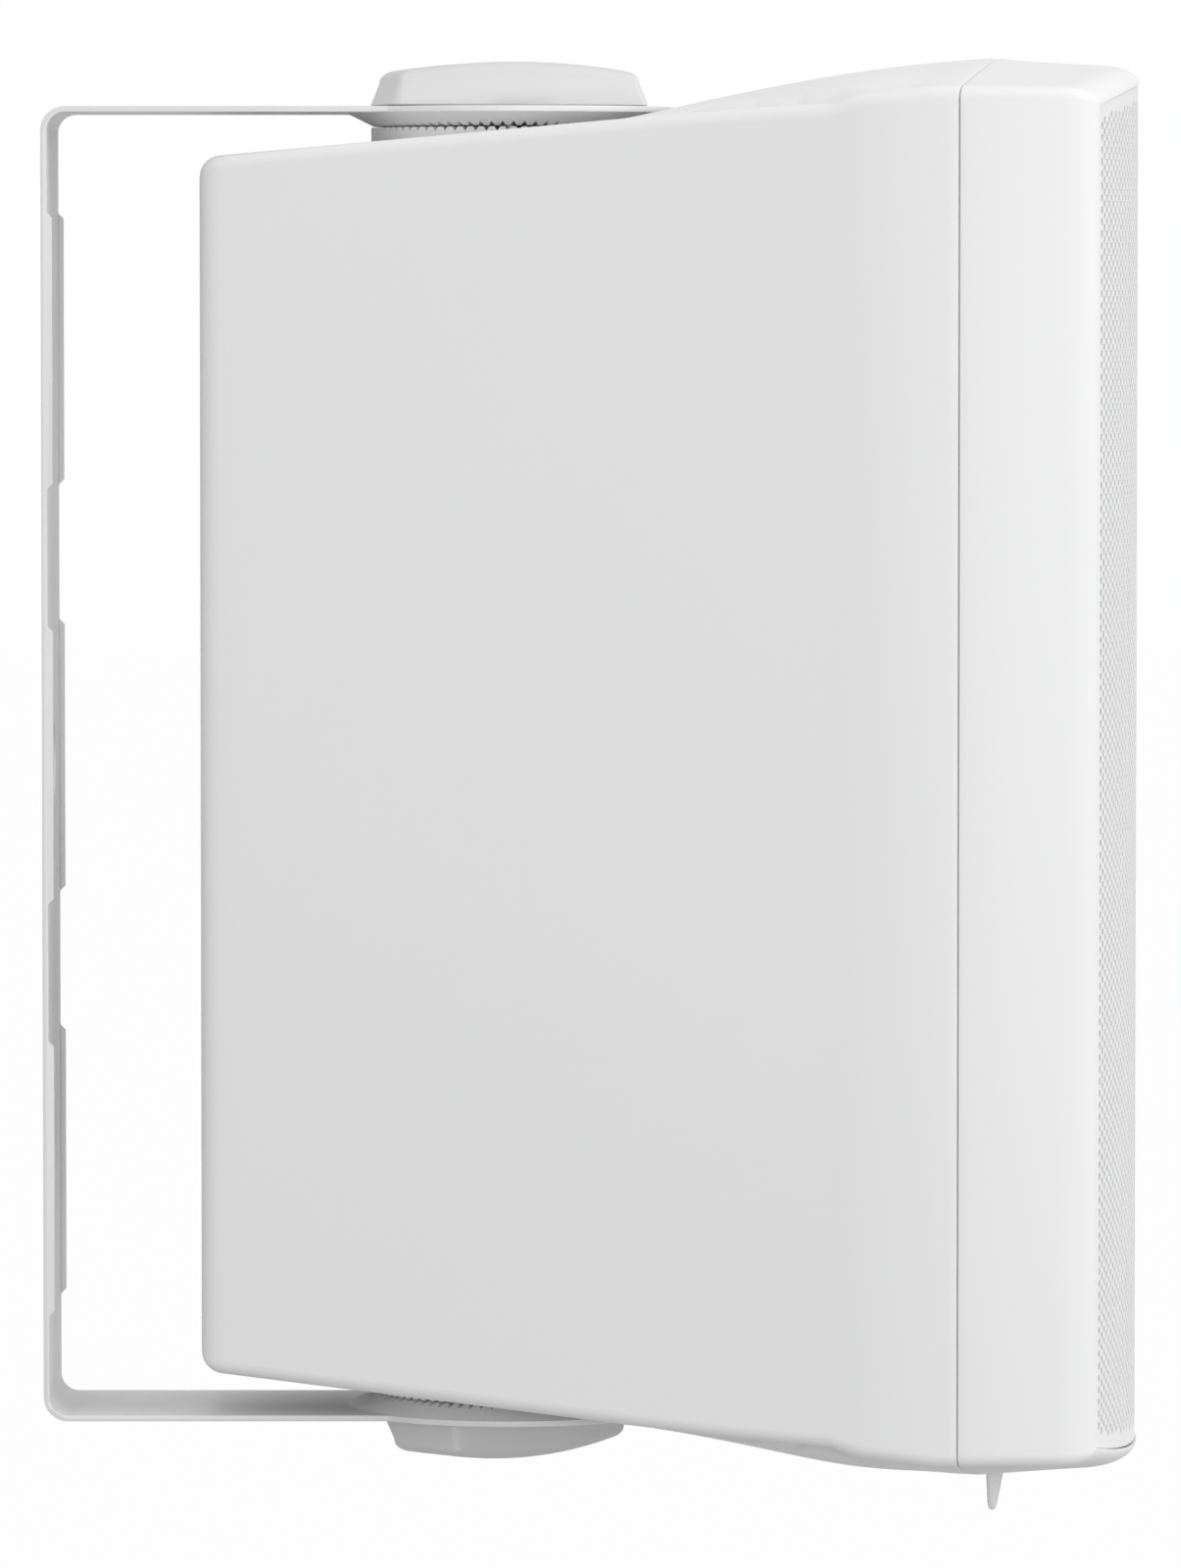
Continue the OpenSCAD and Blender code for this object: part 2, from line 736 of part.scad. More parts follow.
bezel_screw_l = 28;
module bezel_screws() {
  color(steel_grey) for (x = [-1, 1]) for (z = screw_rows)
    forward_at(baffle_f, x * screw_x, z) pan_screw(screw_r - 0.05, 4, 2.6, bezel_screw_l);
}

// Grille: a perforated sheet, bowed across, made of narrow flats one hole wide

grille_f = front_f - 0.4;
grille_inset = bezel_wall + grille_gap;
strip_target = hole_pitch * 0.866;
grille_x = side_x(side_f(front_f)) - grille_inset;
bow_centre_y = -reach - grille_f + front_r;
grille_steps = floor(front_r * asin(grille_x / front_r) * PI / 180 / strip_target - 0.5);
strip_a = 2 * asin(grille_x / front_r) / (2 * grille_steps + 1);
strip_w = 2 * front_r * tan(strip_a / 2);
strip_overlap = 0.25;
hole_margin = 1.6;

function grille_top(x) = top_z(x, front_f) - grille_inset;

module strip(i) {
  h0 = grille_top(front_r * sin(strip_a * (i - 0.5)));
  h1 = grille_top(front_r * sin(strip_a * (i + 0.5)));
  strip_half = strip_w / 2 + strip_overlap;
  start_z = i % 2 == 0 ? 0 : hole_pitch / 2;
  rows = ceil(h0 / hole_pitch) + 1;
  reach_z = min(h0, h1) - hole_d / 2 - hole_margin;
  rotate([0, 0, strip_a * i]) translate([0, -front_r + grille_t, 0]) rotate([90, 0, 0])
    linear_extrude(height = grille_t) difference() {
      polygon([
        [-strip_half, -h0], [strip_half, -h1], [strip_half, h1], [-strip_half, h0]
      ]);
      for (k = [-rows:rows]) let (z = k * hole_pitch + start_z)
        if (abs(z) < reach_z) translate([0, z]) circle(d = hole_d, $fn = 24);
    }
}

module grille() {
  color([0.85, 0.85, 0.86]) translate([0, bow_centre_y, 0])
    for (i = [-grille_steps:grille_steps]) strip(i);
}

module grille_cloth() {
  cloth_t = 0.8;
  cloth_in = 2;
  r_out = front_r - grille_t - part_gap;
  color(black) intersection() {
    translate([0, bow_centre_y, -leg_out_z]) difference() {
      cylinder(r = r_out, h = 2 * leg_out_z, $fn = 360);
      translate([0, 0, -1]) cylinder(r = r_out - cloth_t, h = 2 * leg_out_z + 2, $fn = 360);
    }
    forward_at(baffle_f, 0, 0) linear_extrude(height = front_f - baffle_f)
      polygon(section(front_f, grille_inset + cloth_in));
  }
}

// Woofer, laid out forward from the baffle's face

flange_t = 1.2;
surround_out_r = woofer_hole_r - 2;
surround_in_r = surround_out_r - 12;
coil_r = 13;
spider_r = 39;
spider_h = -26;
plate_h = -43;
plate_t = 5;
magnet_t = 18;
magnet_r = 45;
back_t = 6;
cone_t = 0.8;

module woofer_basket() {
  sheet = 1.2;
  r_wall = woofer_hole_r - 1;
  windows = 6;
  color(steel_grey) difference() {
    at_woofer() basket_pan(sheet, r_wall, windows);
    woofer_screw_places(-1) cylinder(r = woofer_screw_r + 0.2, h = 4, $fn = 24);
  }
}

module basket_pan(sheet, r_wall, windows) {
  difference() {
    rotate_extrude($fn = 120) polygon([
      [r_wall - 3, 0], [woofer_r, 0], [woofer_r, flange_t], [r_wall - 3 - sheet, flange_t],
      [r_wall - 3 - sheet, 0], [spider_r + 1, spider_h], [spider_r - 3, spider_h],
      [spider_r - 3, plate_h + sheet], [coil_r + 3, plate_h + sheet], [coil_r + 3, plate_h],
      [spider_r - 3 + sheet, plate_h], [spider_r - 3 + sheet, spider_h - sheet],
      [spider_r + 1 + sheet * 0.6, spider_h - sheet], [r_wall - 3, -2]
    ]);
    for (i = [0:windows - 1]) rotate([0, 0, i * 360 / windows])
      translate([spider_r + 14, 0, spider_h + 12]) cube([40, 26, 16], center = true);
  }
}

gasket_t = 2.4;
module woofer_gasket() {
  color(black) difference() {
    at_woofer(flange_t) tube(woofer_r, surround_out_r + 0.6, gasket_t, $fn = 120);
    woofer_screw_places(0) cylinder(r = woofer_screw_r + 0.2, h = 6, $fn = 24);
  }
}

module woofer_screws() {
  color(steel_grey) woofer_screw_places(flange_t + gasket_t)
    pan_screw(woofer_screw_r, 3.4, 2, 9);
}

module woofer_surround() {
  roll_r = (surround_out_r - surround_in_r) / 2 - 2;
  mid_r = (surround_out_r + surround_in_r) / 2;
  skin = 0.7;
  color(black) at_woofer(flange_t + 0.1) rotate_extrude($fn = 120) union() {
    difference() {
      translate([mid_r, 0]) circle(r = roll_r, $fn = 48);
      translate([mid_r, 0]) circle(r = roll_r - skin, $fn = 48);
      translate([mid_r - roll_r - 1, -roll_r - 1]) square([2 * roll_r + 2, roll_r + 1]);
    }
    translate([mid_r + roll_r - skin, 0]) square([2.6 + skin - 0.3, skin]);
    translate([mid_r - roll_r - 2, 0]) square([2 + skin, skin]);
  }
}

module woofer_spider() {
  skin = 0.6;
  color([0.75, 0.6, 0.3]) at_woofer(spider_h + 0.1) rotate_extrude($fn = 96)
    polygon(concat(
      [for (i = [0:20]) [coil_r + 1 + (spider_r - coil_r - 1) * i / 20,
        0.8 + 0.8 * cos(i * 90)]],
      [for (i = [20:-1:0]) [coil_r + 1 + (spider_r - coil_r - 1) * i / 20,
        0.8 + 0.8 * cos(i * 90) + skin]]
    ));
}

cone_h = -20;
module woofer_cone() {
  rim = surround_in_r + 1.8;
  color([0.2, 0.2, 0.22]) at_woofer(flange_t) rotate_extrude($fn = 120) polygon([
    [coil_r + 1, cone_h], [rim, -cone_t], [rim, 0], [rim - 2, 0], [coil_r + 1, cone_h + cone_t]
  ]);
}

module woofer_dust_cap() {
  cap_r = 18;
  rise = 6;
  ball_r = (cap_r * cap_r + rise * rise) / (2 * rise);
  seat_h = cone_h + 3.4;
  color([0.16, 0.16, 0.17]) at_woofer(flange_t + seat_h) intersection() {
    difference() {
      translate([0, 0, rise - ball_r]) sphere(r = ball_r, $fn = 96);
      translate([0, 0, rise - ball_r]) sphere(r = ball_r - 0.8, $fn = 96);
    }
    cylinder(r = cap_r + 1, h = rise + 1);
  }
}

module woofer_voice_coil() {
  coil_end_h = plate_h - 3;
  color([0.7, 0.4, 0.2]) at_woofer(coil_end_h)
    tube(coil_r + 0.3, coil_r - 0.3, cone_h + flange_t - coil_end_h);
}

module woofer_top_plate() {
  color(steel_grey) at_woofer(plate_h - plate_t) tube(magnet_r - 3, coil_r + 1, plate_t, $fn = 96);
}

module woofer_magnet() {
  color([0.2, 0.2, 0.2]) at_woofer(plate_h - plate_t - magnet_t)
    tube(magnet_r, 22, magnet_t, $fn = 96);
}

module woofer_back_plate() {
  color(steel_grey) at_woofer(plate_h - plate_t - magnet_t - back_t) {
    cylinder(r = magnet_r - 3, h = back_t, $fn = 96);
    cylinder(r = coil_r - 1, h = back_t + magnet_t + plate_t);
  }
}

// Tweeter: a horn faceplate, a soft dome and a closed motor

dome_r = 12.5;
horn_depth = 12;
tweeter_plate_t = 3;

module tweeter_horn() {
  plate = tweeter_plate_t;
  mouth_r = tweeter_r - 11;
  skin = 2;
  steps = 8;
  function throat_r(t) = dome_r + 2 + (mouth_r - dome_r - 2) * pow(t, 1.8);
  color(black) difference() {
    at_tweeter() rotate_extrude($fn = 96) polygon(concat(
      [for (i = [0:steps]) [throat_r(i / steps), -horn_depth + (horn_depth + plate) * i / steps]],
      [[tweeter_r, plate], [tweeter_r, 0], [mouth_r + skin, 0]],
      [for (i = [steps - 2:-1:0])
        [throat_r(i / steps) + skin, -horn_depth + (horn_depth + plate) * i / steps - skin * 0.4]]
    ));
    tweeter_screw_places(-1) cylinder(r = tweeter_screw_r + 0.2, h = 6, $fn = 24);
  }
}

module tweeter_dome() {
  rise = 5;
  ball_r = (dome_r * dome_r + rise * rise) / (2 * rise);
  color([0.25, 0.25, 0.27]) at_tweeter(-horn_depth) union() {
    intersection() {
      difference() {
        translate([0, 0, rise - ball_r]) sphere(r = ball_r, $fn = 72);
        translate([0, 0, rise - ball_r]) sphere(r = ball_r - 0.6, $fn = 72);
      }
      cylinder(r = dome_r + 1, h = rise + 1);
    }
    tube(dome_r + 1.6, dome_r - 1, 0.5);
  }
}

module tweeter_motor() {
  motor_r = 30;
  color(steel_grey) at_tweeter(-horn_depth - 26) {
    cylinder(r = motor_r, h = 5);
    translate([0, 0, 5]) cylinder(r = motor_r + 3, h = 12);
    translate([0, 0, 17]) cylinder(r = motor_r, h = 5);
    translate([0, 0, 22]) tube(dome_r + 4, dome_r + 1.7, 3);
  }
}

module tweeter_screws() {
  color(steel_grey) tweeter_screw_places(tweeter_plate_t)
    pan_screw(tweeter_screw_r, 3.2, 1.8, 10);
}

// Port tubes, flared at the front

module port_tube(side) {
  tube_wall = 2.4;
  color(black) forward_at(baffle_f, side * port_x, port_z) rotate_extrude() polygon([
    [port_r, -port_l], [port_r, -4], [port_r + 0.6, -1], [port_r + 2, 1], [port_r + 6, 1.8],
    [port_r + 6, 0], [port_r + tube_wall, 0], [port_r + tube_wall, -port_l]
  ]);
}

module port_left() {
  port_tube(-1);
}

module port_right() {
  port_tube(1);
}

// Terminal cup in the rear face, with two binding posts and the power tap switch

cup_depth = 22;
cup_wall = 2;
cup_gap = 0.3;
rear_y = -reach + cab_back;
cup_floor_f = -cab_back + cup_flange_t + cup_depth;
post_z = -82;
post_x = 9.5;
tap_z = -44;
post_stud_r = 2.5;
tap_shaft_r = 3;

// Places a child whose Z axis points to the rear, out of the cup's floor
module on_cup_floor(x, z, h = 0) {
  translate([x, -reach - cup_floor_f + h, z]) rotate([-90, 0, 0]) children();
}

module terminal_cup() {
  w = cup_w - 2 * cup_gap;
  h = cup_h - 2 * cup_gap;
  fw = cup_w + 2 * cup_flange - 2 * cup_gap;
  fh = cup_h + 2 * cup_flange - 2 * cup_gap;
  color(black) difference() {
    union() {
      translate([-fw / 2, rear_y - cup_flange_t - 0.2, cup_z - fh / 2])
        cube([fw, cup_flange_t, fh]);
      translate([-w / 2, rear_y - cup_flange_t - cup_depth - cup_wall, cup_z - h / 2])
        cube([w, cup_depth + cup_wall + 1, h]);
    }
    translate([-w / 2 + cup_wall, rear_y - cup_flange_t - cup_depth, cup_z - h / 2 + cup_wall])
      cube([w - 2 * cup_wall, cup_depth + 10, h - 2 * cup_wall]);
    for (x = [-1, 1]) on_cup_floor(x * post_x, post_z, -10)
      cylinder(r = post_stud_r + thread_gap, h = 20, $fn = 32);
    on_cup_floor(0, tap_z, -10) cylinder(r = tap_shaft_r + 0.4, h = 20, $fn = 32);
    terminal_screw_places() translate([0, 0, -10]) cylinder(r = terminal_screw_r + 0.1, h = 20, $fn = 24);
  }
}

module terminal_screws() {
  color(steel_grey) terminal_screw_places() {
    cylinder(r = 1.7, h = 0.9, $fn = 24);
    translate([0, 0, -terminal_screw_l])
      cylinder(r = terminal_screw_r, h = terminal_screw_l + 0.1, $fn = 24);
  }
}

post_l = 17;
cap_r = 6;
cap_l = 11;
post_base_h = 3;
post_washer_t = 1;

module post(x) {
  color(brass) {
    on_cup_floor(x, post_z, -cup_wall - 4) cylinder(r = post_stud_r, h = post_l + cup_wall + 4);
    on_cup_floor(x, post_z, 0) tube(4.6, post_stud_r - 0.01, post_base_h, $fn = 48);
  }
}

module post_red() {
  post(post_x);
}

module post_black() {
  post(-post_x);
}

module post_washer(x) {
  color(steel_grey) on_cup_floor(x, post_z, post_base_h + part_gap)
    tube(4.6, post_stud_r + 0.2, post_washer_t, $fn = 48);
}

module post_washer_red() {
  post_washer(post_x);
}

module post_washer_black() {
  post_washer(-post_x);
}

module post_cap(x) {
  flutes = 12;
  on_cup_floor(x, post_z, post_base_h + 2 * part_gap + post_washer_t) difference() {
    cylinder(r = cap_r, h = cap_l, $fn = 48);
    translate([0, 0, -1]) cylinder(r = post_stud_r + thread_gap, h = cap_l + 2, $fn = 32);
    for (i = [0:flutes - 1]) rotate([0, 0, i * 360 / flutes])
      translate([cap_r + 0.3, 0, 2]) cylinder(r = 0.8, h = cap_l, $fn = 16);
  }
}

module post_cap_red() {
  color([0.7, 0.1, 0.08]) post_cap(post_x);
}

module post_cap_black() {
  color(black) post_cap(-post_x);
}

module tap_switch() {
  color([0.25, 0.27, 0.3]) {
    on_cup_floor(0, tap_z, -cup_wall - 12) cylinder(r = 12, h = 12, $fn = 48);
  }
}

module tap_knob() {
  knob_r = 9;
  color(black) difference() {
    union() {
      on_cup_floor(0, tap_z, part_gap) cylinder(r = knob_r, h = 10, $fn = 48);
      on_cup_floor(0, tap_z, -cup_wall + part_gap) cylinder(r = tap_shaft_r, h = cup_wall + 1);
    }
    on_cup_floor(0, tap_z, 9) translate([-0.8, -1, 0]) cube([1.6, knob_r, 5]);
  }
}

// Crossover board on standoffs behind the cup

board_f = cup_floor_f + cup_wall + 14;
board_w = 52;
board_h = 92;
board_t = 1.6;
board_screw_x = board_w / 2 - 11;
board_screw_z = board_h / 2 - 12;

module crossover_board() {
  color([0.15, 0.4, 0.2]) difference() {
    forward_at(board_f, 0, cup_z) linear_extrude(height = board_t)
      square([board_w, board_h], center = true);
    for (x = [-1, 1]) for (z = [-1, 1])
      forward_at(board_f - 1, x * board_screw_x, cup_z + z * board_screw_z)
        cylinder(r = 1.7, h = 5, $fn = 24);
  }
}

module board_screws() {
  standoff_l = board_f - cup_floor_f - cup_wall;
  color(steel_grey) for (x = [-1, 1]) for (z = [-1, 1])
    forward_at(board_f - standoff_l, x * board_screw_x, cup_z + z * board_screw_z) {
      cylinder(r = 3, h = standoff_l, $fn = 24);
      cylinder(r = 1.6, h = standoff_l + board_t + 0.1, $fn = 24);
      translate([0, 0, standoff_l + board_t]) cylinder(r = 2.8, h = 2, $fn = 24);
    }
}

module on_board(x, z) {
  forward_at(board_f + board_t, x, cup_z + z) children();
}

module inductor() {
  color([0.72, 0.4, 0.2]) on_board(0, 28 - board_h / 2) {
    tube(16, 8, 2, $fn = 48);
    translate([0, 0, 2]) tube(13.5, 8, 12, $fn = 48);
    translate([0, 0, 14]) tube(16, 8, 2, $fn = 48);
  }
}

module capacitor_large() {
  color([0.85, 0.75, 0.2]) on_board(-8, board_h / 2 - 34) translate([0, 0, 7.5]) rotate([0, 90, 0])
    translate([0, 0, -10]) cylinder(r = 7.5, h = 30);
}

module capacitor_small() {
  color([0.85, 0.75, 0.2]) on_board(-10, board_h / 2 - 18) translate([0, 0, 5])
    rotate([0, 90, 0]) cylinder(r = 5, h = 22);
}

module resistor() {
  color([0.9, 0.9, 0.86]) on_board(20.5, 3) translate([-3.5, -11, 0]) cube([7, 22, 6.5]);
}

// Line transformer on the rear wall above the cup

transformer_z = 48;
core_w = 50;
core_h = 42;
core_t = 18;
module transformer_core() {
  f = -cab_back + wall;
  color(steel_grey) forward_at(f, 0, transformer_z) difference() {
    union() {
      translate([-core_w / 2, -core_h / 2, 2]) cube([core_w, core_h, core_t]);
      translate([-core_w / 2 + 6, -core_h / 2 - 9, 0]) cube([core_w - 12, core_h + 18, 2]);
    }
    for (x = [-1, 1]) translate([x * 13 - 4.5, -core_h / 2 + 7, 1]) cube([9, core_h - 14, 40]);
    for (z = [-1, 1]) translate([0, z * (core_h / 2 + 4.5), -1]) cylinder(r = 2.2, h = 5, $fn = 24);
  }
}

module transformer_coil() {
  f = -cab_back + wall;
  color([0.85, 0.7, 0.3]) forward_at(f, 0, transformer_z) difference() {
    translate([-17, -core_h / 2 + 7.5, 3]) cube([34, core_h - 15, core_t + 6]);
    translate([-8.8, -core_h / 2, 0]) cube([17.6, core_h, core_t + 2.3]);
    for (x = [-1, 1]) translate([x * 25.9 - 8.7, -core_h / 2, 0]) cube([17.4, core_h, core_t + 2.3]);
  }
}

module transformer_screws() {
  f = -cab_back + wall + 2;
  color(steel_grey) for (z = [-1, 1])
    forward_at(f, 0, transformer_z + z * (core_h / 2 + 4.5)) {
      cylinder(r = 3.6, h = 2, $fn = 24);
      translate([0, 0, -2]) cylinder(r = 2.1, h = 2, $fn = 24);
    }
}

// Fibre wadding in the upper rear of the cabinet

wadding_z = 84;
wadding_h = 38;
wadding_front_f = 30;
module wadding() {
  back_f = -cab_back + wall + part_gap;
  pad_in = wall + part_gap;
  half_back = side_x(back_f) - pad_in;
  half_front = side_x(wadding_front_f) - pad_in;
  color([0.9, 0.9, 0.85]) translate([0, 0, wadding_z]) linear_extrude(height = wadding_h)
    polygon([
      [-half_back, -reach - back_f], [half_back, -reach - back_f],
      [half_front, -reach - wadding_front_f], [-half_front, -reach - wadding_front_f]
    ]);
}

bracket();
bracket_disc_top();
bracket_disc_bottom();
cabinet_ring_top();
cabinet_ring_bottom();
insert_top();
insert_bottom();
washer_top();
washer_bottom();
knob_top();
knob_bottom();
knob_stud_top();
knob_stud_bottom();
cabinet_shell();
front_bezel();
seam_gasket();
bezel_screws();
grille();
grille_cloth();
woofer_basket();
woofer_gasket();
woofer_screws();
woofer_surround();
woofer_spider();
woofer_cone();
woofer_dust_cap();
woofer_voice_coil();
woofer_top_plate();
woofer_magnet();
woofer_back_plate();
tweeter_horn();
tweeter_dome();
tweeter_motor();
tweeter_screws();
port_left();
port_right();
terminal_cup();
terminal_screws();
post_red();
post_black();
post_washer_red();
post_washer_black();
post_cap_red();
post_cap_black();
tap_switch();
tap_knob();
crossover_board();
board_screws();
inductor();
capacitor_large();
capacitor_small();
resistor();
transformer_core();
transformer_coil();
transformer_screws();
wadding();
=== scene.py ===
import math

import bmesh
import bpy
import numpy as np
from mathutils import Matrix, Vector, geometry


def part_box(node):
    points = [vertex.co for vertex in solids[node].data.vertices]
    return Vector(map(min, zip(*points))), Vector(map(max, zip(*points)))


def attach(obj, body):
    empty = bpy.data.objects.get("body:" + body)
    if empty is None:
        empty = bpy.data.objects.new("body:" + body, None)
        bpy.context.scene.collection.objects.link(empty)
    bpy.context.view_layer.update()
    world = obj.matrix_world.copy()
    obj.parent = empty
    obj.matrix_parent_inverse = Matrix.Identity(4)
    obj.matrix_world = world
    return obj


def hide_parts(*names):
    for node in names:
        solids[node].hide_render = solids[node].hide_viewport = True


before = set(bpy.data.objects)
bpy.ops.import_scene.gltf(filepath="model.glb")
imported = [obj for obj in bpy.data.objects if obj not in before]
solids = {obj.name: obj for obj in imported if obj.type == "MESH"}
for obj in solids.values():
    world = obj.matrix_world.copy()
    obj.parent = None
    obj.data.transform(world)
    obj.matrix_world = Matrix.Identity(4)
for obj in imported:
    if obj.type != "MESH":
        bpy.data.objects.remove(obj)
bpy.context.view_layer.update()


# Cabinet shell. One white ABS moulding, drafted towards its small rear face. The flanks are flat as far as
# the widest place, and a crown rises above and below the side edges towards the bowed seam. The mould gives
# all of it a satin spark grain. A round pocket at the top and the bottom takes the swivel couplings.
reach = 114.0
rear, rear_width, flank_angle, flank_end, widest = 75.3, 62.6, math.radians(19.85), 80.0, 124.0
rear_half_height, top_slope, edge_round, rear_round = 148.7, math.tan(math.radians(4.94)), 3.5, 5.0
slope_start, dip_start, shoulder, lift_end = -72.0, 46.0, 84.6, 102.0
seam, front, bow_radius, front_bow, crown_height = 120.4, 154.8, 340.0, 0.16, 172.7
panel_half, panel_end, crown_start, crown_run, crown_fall = 66.0, 72.0, 30.0, 77.0, 11.6
shell_wall, shell_front, pocket_radius, pocket_floor = 3.5, 120.25, 42.5, 149.55
flank_x = rear_width / 2 + math.tan(flank_angle) * (flank_end + rear)
flank_radius = (widest - flank_end) / math.sin(flank_angle)


def ease(share):
    share = np.clip(share, 0.0, 1.0)
    return share * share * (3.0 - 2.0 * share)


def bow(x):
    return x * x / (2.0 * bow_radius)


def bow_share(forward):
    ahead = max(forward - seam, 0.0) / (front - seam)
    return float(ease((forward - flank_end) / (seam - flank_end))) + front_bow * ahead


def half_width(forward):
    if forward < flank_end:
        return rear_width / 2 + math.tan(flank_angle) * (forward + rear)
    lean = math.asin((widest - forward) / flank_radius)
    return flank_x + flank_radius * (math.cos(lean) - math.cos(flank_angle))


def side_forward(forward):
    return forward - bow(half_width(forward)) * bow_share(forward)


def edge_height(forward):
    """The side edge climbs evenly, dips a little before the shoulder, then lifts to meet the crown."""
    slope = rear_half_height + top_slope * (min(forward, shoulder) - slope_start)
    dip = 0.8 * float(ease((forward - dip_start) / (shoulder - dip_start)))
    lift = 2.7 * float(ease((forward - shoulder) / (lift_end - shoulder)))
    return slope - dip + lift


def ridge_height(forward):
    """The middle of the crown, which rises to the seam and falls a little ahead of it."""
    if forward < seam:
        return crown_height - crown_fall * ((seam - forward) / crown_run) ** 1.5
    ahead = forward - seam
    step = 1.2 * (1.0 - math.exp(-ahead / 9.0))
    return crown_height - step - 0.0008 * ahead ** 2


def top_height(x, forward):
    """The crown starts as a broad flat panel with upright sides, and opens out into an arch at the front."""
    side = side_forward(forward)
    edge = edge_height(side)
    opening = float(ease((forward - crown_start) / 66.0))
    spread = panel_half + (half_width(side) - panel_half) * opening
    opened = float(ease((forward - panel_end) / 40.0))
    flatness = 4.6 - 1.9 * opened - 0.7 * float(ease((forward - seam) / 30.0))
    crown = (1.0 - np.minimum(np.abs(x) / spread, 1.0) ** flatness) ** (0.5 + 0.5 * opened)
    return edge + max(ridge_height(forward) - edge, 0.0) * crown


def cabinet_ring(forward, inset=0.0, steps=34):
    """One closed line round the cabinet, at a distance forward of the swivel axis and inset from its skin."""
    width = half_width(side_forward(forward)) - inset
    corner = max(edge_round - inset, 0.8)
    x = np.linspace(0.0, width - corner, steps + 1)
    z = top_height(x * (width + inset - corner) / (width - corner), forward) - inset
    turn = np.radians([75, 60, 45, 30, 15, 0])
    quarter = np.column_stack([
        np.append(x, width - corner + corner * np.cos(turn)),
        np.append(z, z[-1] - corner + corner * np.sin(turn))])
    line = np.concatenate([
        quarter, quarter[::-1] * (1, -1),
        quarter[1:] * (-1, -1), quarter[:0:-1] * (-1, 1)])
    y = -reach - forward + bow(line[:, 0]) * bow_share(forward)
    return np.column_stack([line[:, 0], y, line[:, 1]])


def loft(rings, joined=False):
    """Quads between rings of equally many points, capped at both ends or joined back to the first ring."""
    count, around = len(rings), len(rings[0])
    faces = []
    for i in range(count if joined else count - 1):
        low, high = i * around, (i + 1) % count * around
        for j in range(around):
            step = (j + 1) % around
            faces.append((low + j, high + j, high + step, low + step))
    points = np.concatenate(rings)
    if not joined:
        faces += [list(range(around)), list(range((count - 1) * around, count * around))[::-1]]
    return points, faces


def drum(radius, low, high, middle=(0.0, -reach), sides=128):
    """A turned solid on an upright axis."""
    turn = np.linspace(0.0, 2 * np.pi, sides, endpoint=False)
    x, y = middle[0] + radius * np.cos(turn), middle[1] + radius * np.sin(turn)
    return loft([np.column_stack([x, y, 0 * turn + z]) for z in (low, high)])


def brick(low, high):
    x0, y0, z0 = low
    x1, y1, z1 = high
    return loft([np.array([(x0, y0, z), (x1, y0, z), (x1, y1, z), (x0, y1, z)]) for z in (z0, z1)])


def post_to_front(x, z, radius, back, forward, sides=32):
    """A round post along the front to back line."""
    turn = np.linspace(0.0, 2 * np.pi, sides, endpoint=False)
    across, up = x + radius * np.cos(turn), z + radius * np.sin(turn)
    return loft([np.column_stack([across, 0 * turn - reach - f, up]) for f in (back, forward)])


def make_piece(name, parts, crease=32.0):
    """Joins parts, given in the drawing's millimetres, into one object in the frame's metres."""
    points, faces, start = [], [], 0
    for part_points, part_faces in parts:
        points.append(np.asarray(part_points, float) * 0.001)
        faces += [[int(i) + start for i in face] for face in part_faces]
        start += len(part_points)
    mesh = bpy.data.meshes.new(name)
    mesh.from_pydata(np.concatenate(points).tolist(), [], faces)
    work = bmesh.new()
    work.from_mesh(mesh)
    bmesh.ops.recalc_face_normals(work, faces=work.faces)
    work.to_mesh(mesh)
    work.free()
    piece = bpy.data.objects.new(name, mesh)
    bpy.context.scene.collection.objects.link(piece)
    shade(piece, crease)
    return piece


def shade(piece, crease=32.0):
    piece.data.shade_smooth()
    piece.data.set_sharp_from_angle(angle=math.radians(crease))


def settle(piece):
    """Keeps what the modifiers make of a piece as its own mesh."""
    ready = piece.evaluated_get(bpy.context.evaluated_depsgraph_get())
    mesh = bpy.data.meshes.new_from_object(ready)
    piece.modifiers.clear()
    piece.data = mesh
    return piece


def machine(piece, operation, parts, crease=32.0):
    """Adds parts to a piece, or cuts them out of it, one after the other."""
    tools = [make_piece("tool", [part]) for part in parts]
    for tool in tools:
        step = piece.modifiers.new("machining", "BOOLEAN")
        step.operation, step.solver, step.object = operation, "EXACT", tool
    settle(piece)
    for tool in tools:
        bpy.data.objects.remove(tool)
    shade(piece, crease)
    return piece


class Level:
    """One value that changes over a surface. Arithmetic on it adds the Math nodes."""

    def __init__(self, finish, socket):
        self.finish, self.socket = finish, socket

    def maths(self, operation, *values):
        return self.finish.node("ShaderNodeMath", {"operation": operation}, dict(enumerate(values)))

    def __add__(self, other):
        return self.maths("ADD", self, other)

    def __radd__(self, other):
        return self.maths("ADD", other, self)

    def __mul__(self, other):
        return self.maths("MULTIPLY", self, other)

    def __rmul__(self, other):
        return self.maths("MULTIPLY", other, self)

    def wave(self):
        return self.maths("SINE", self)

    def at_most_one(self):
        return self.maths("MINIMUM", self, 1.0)


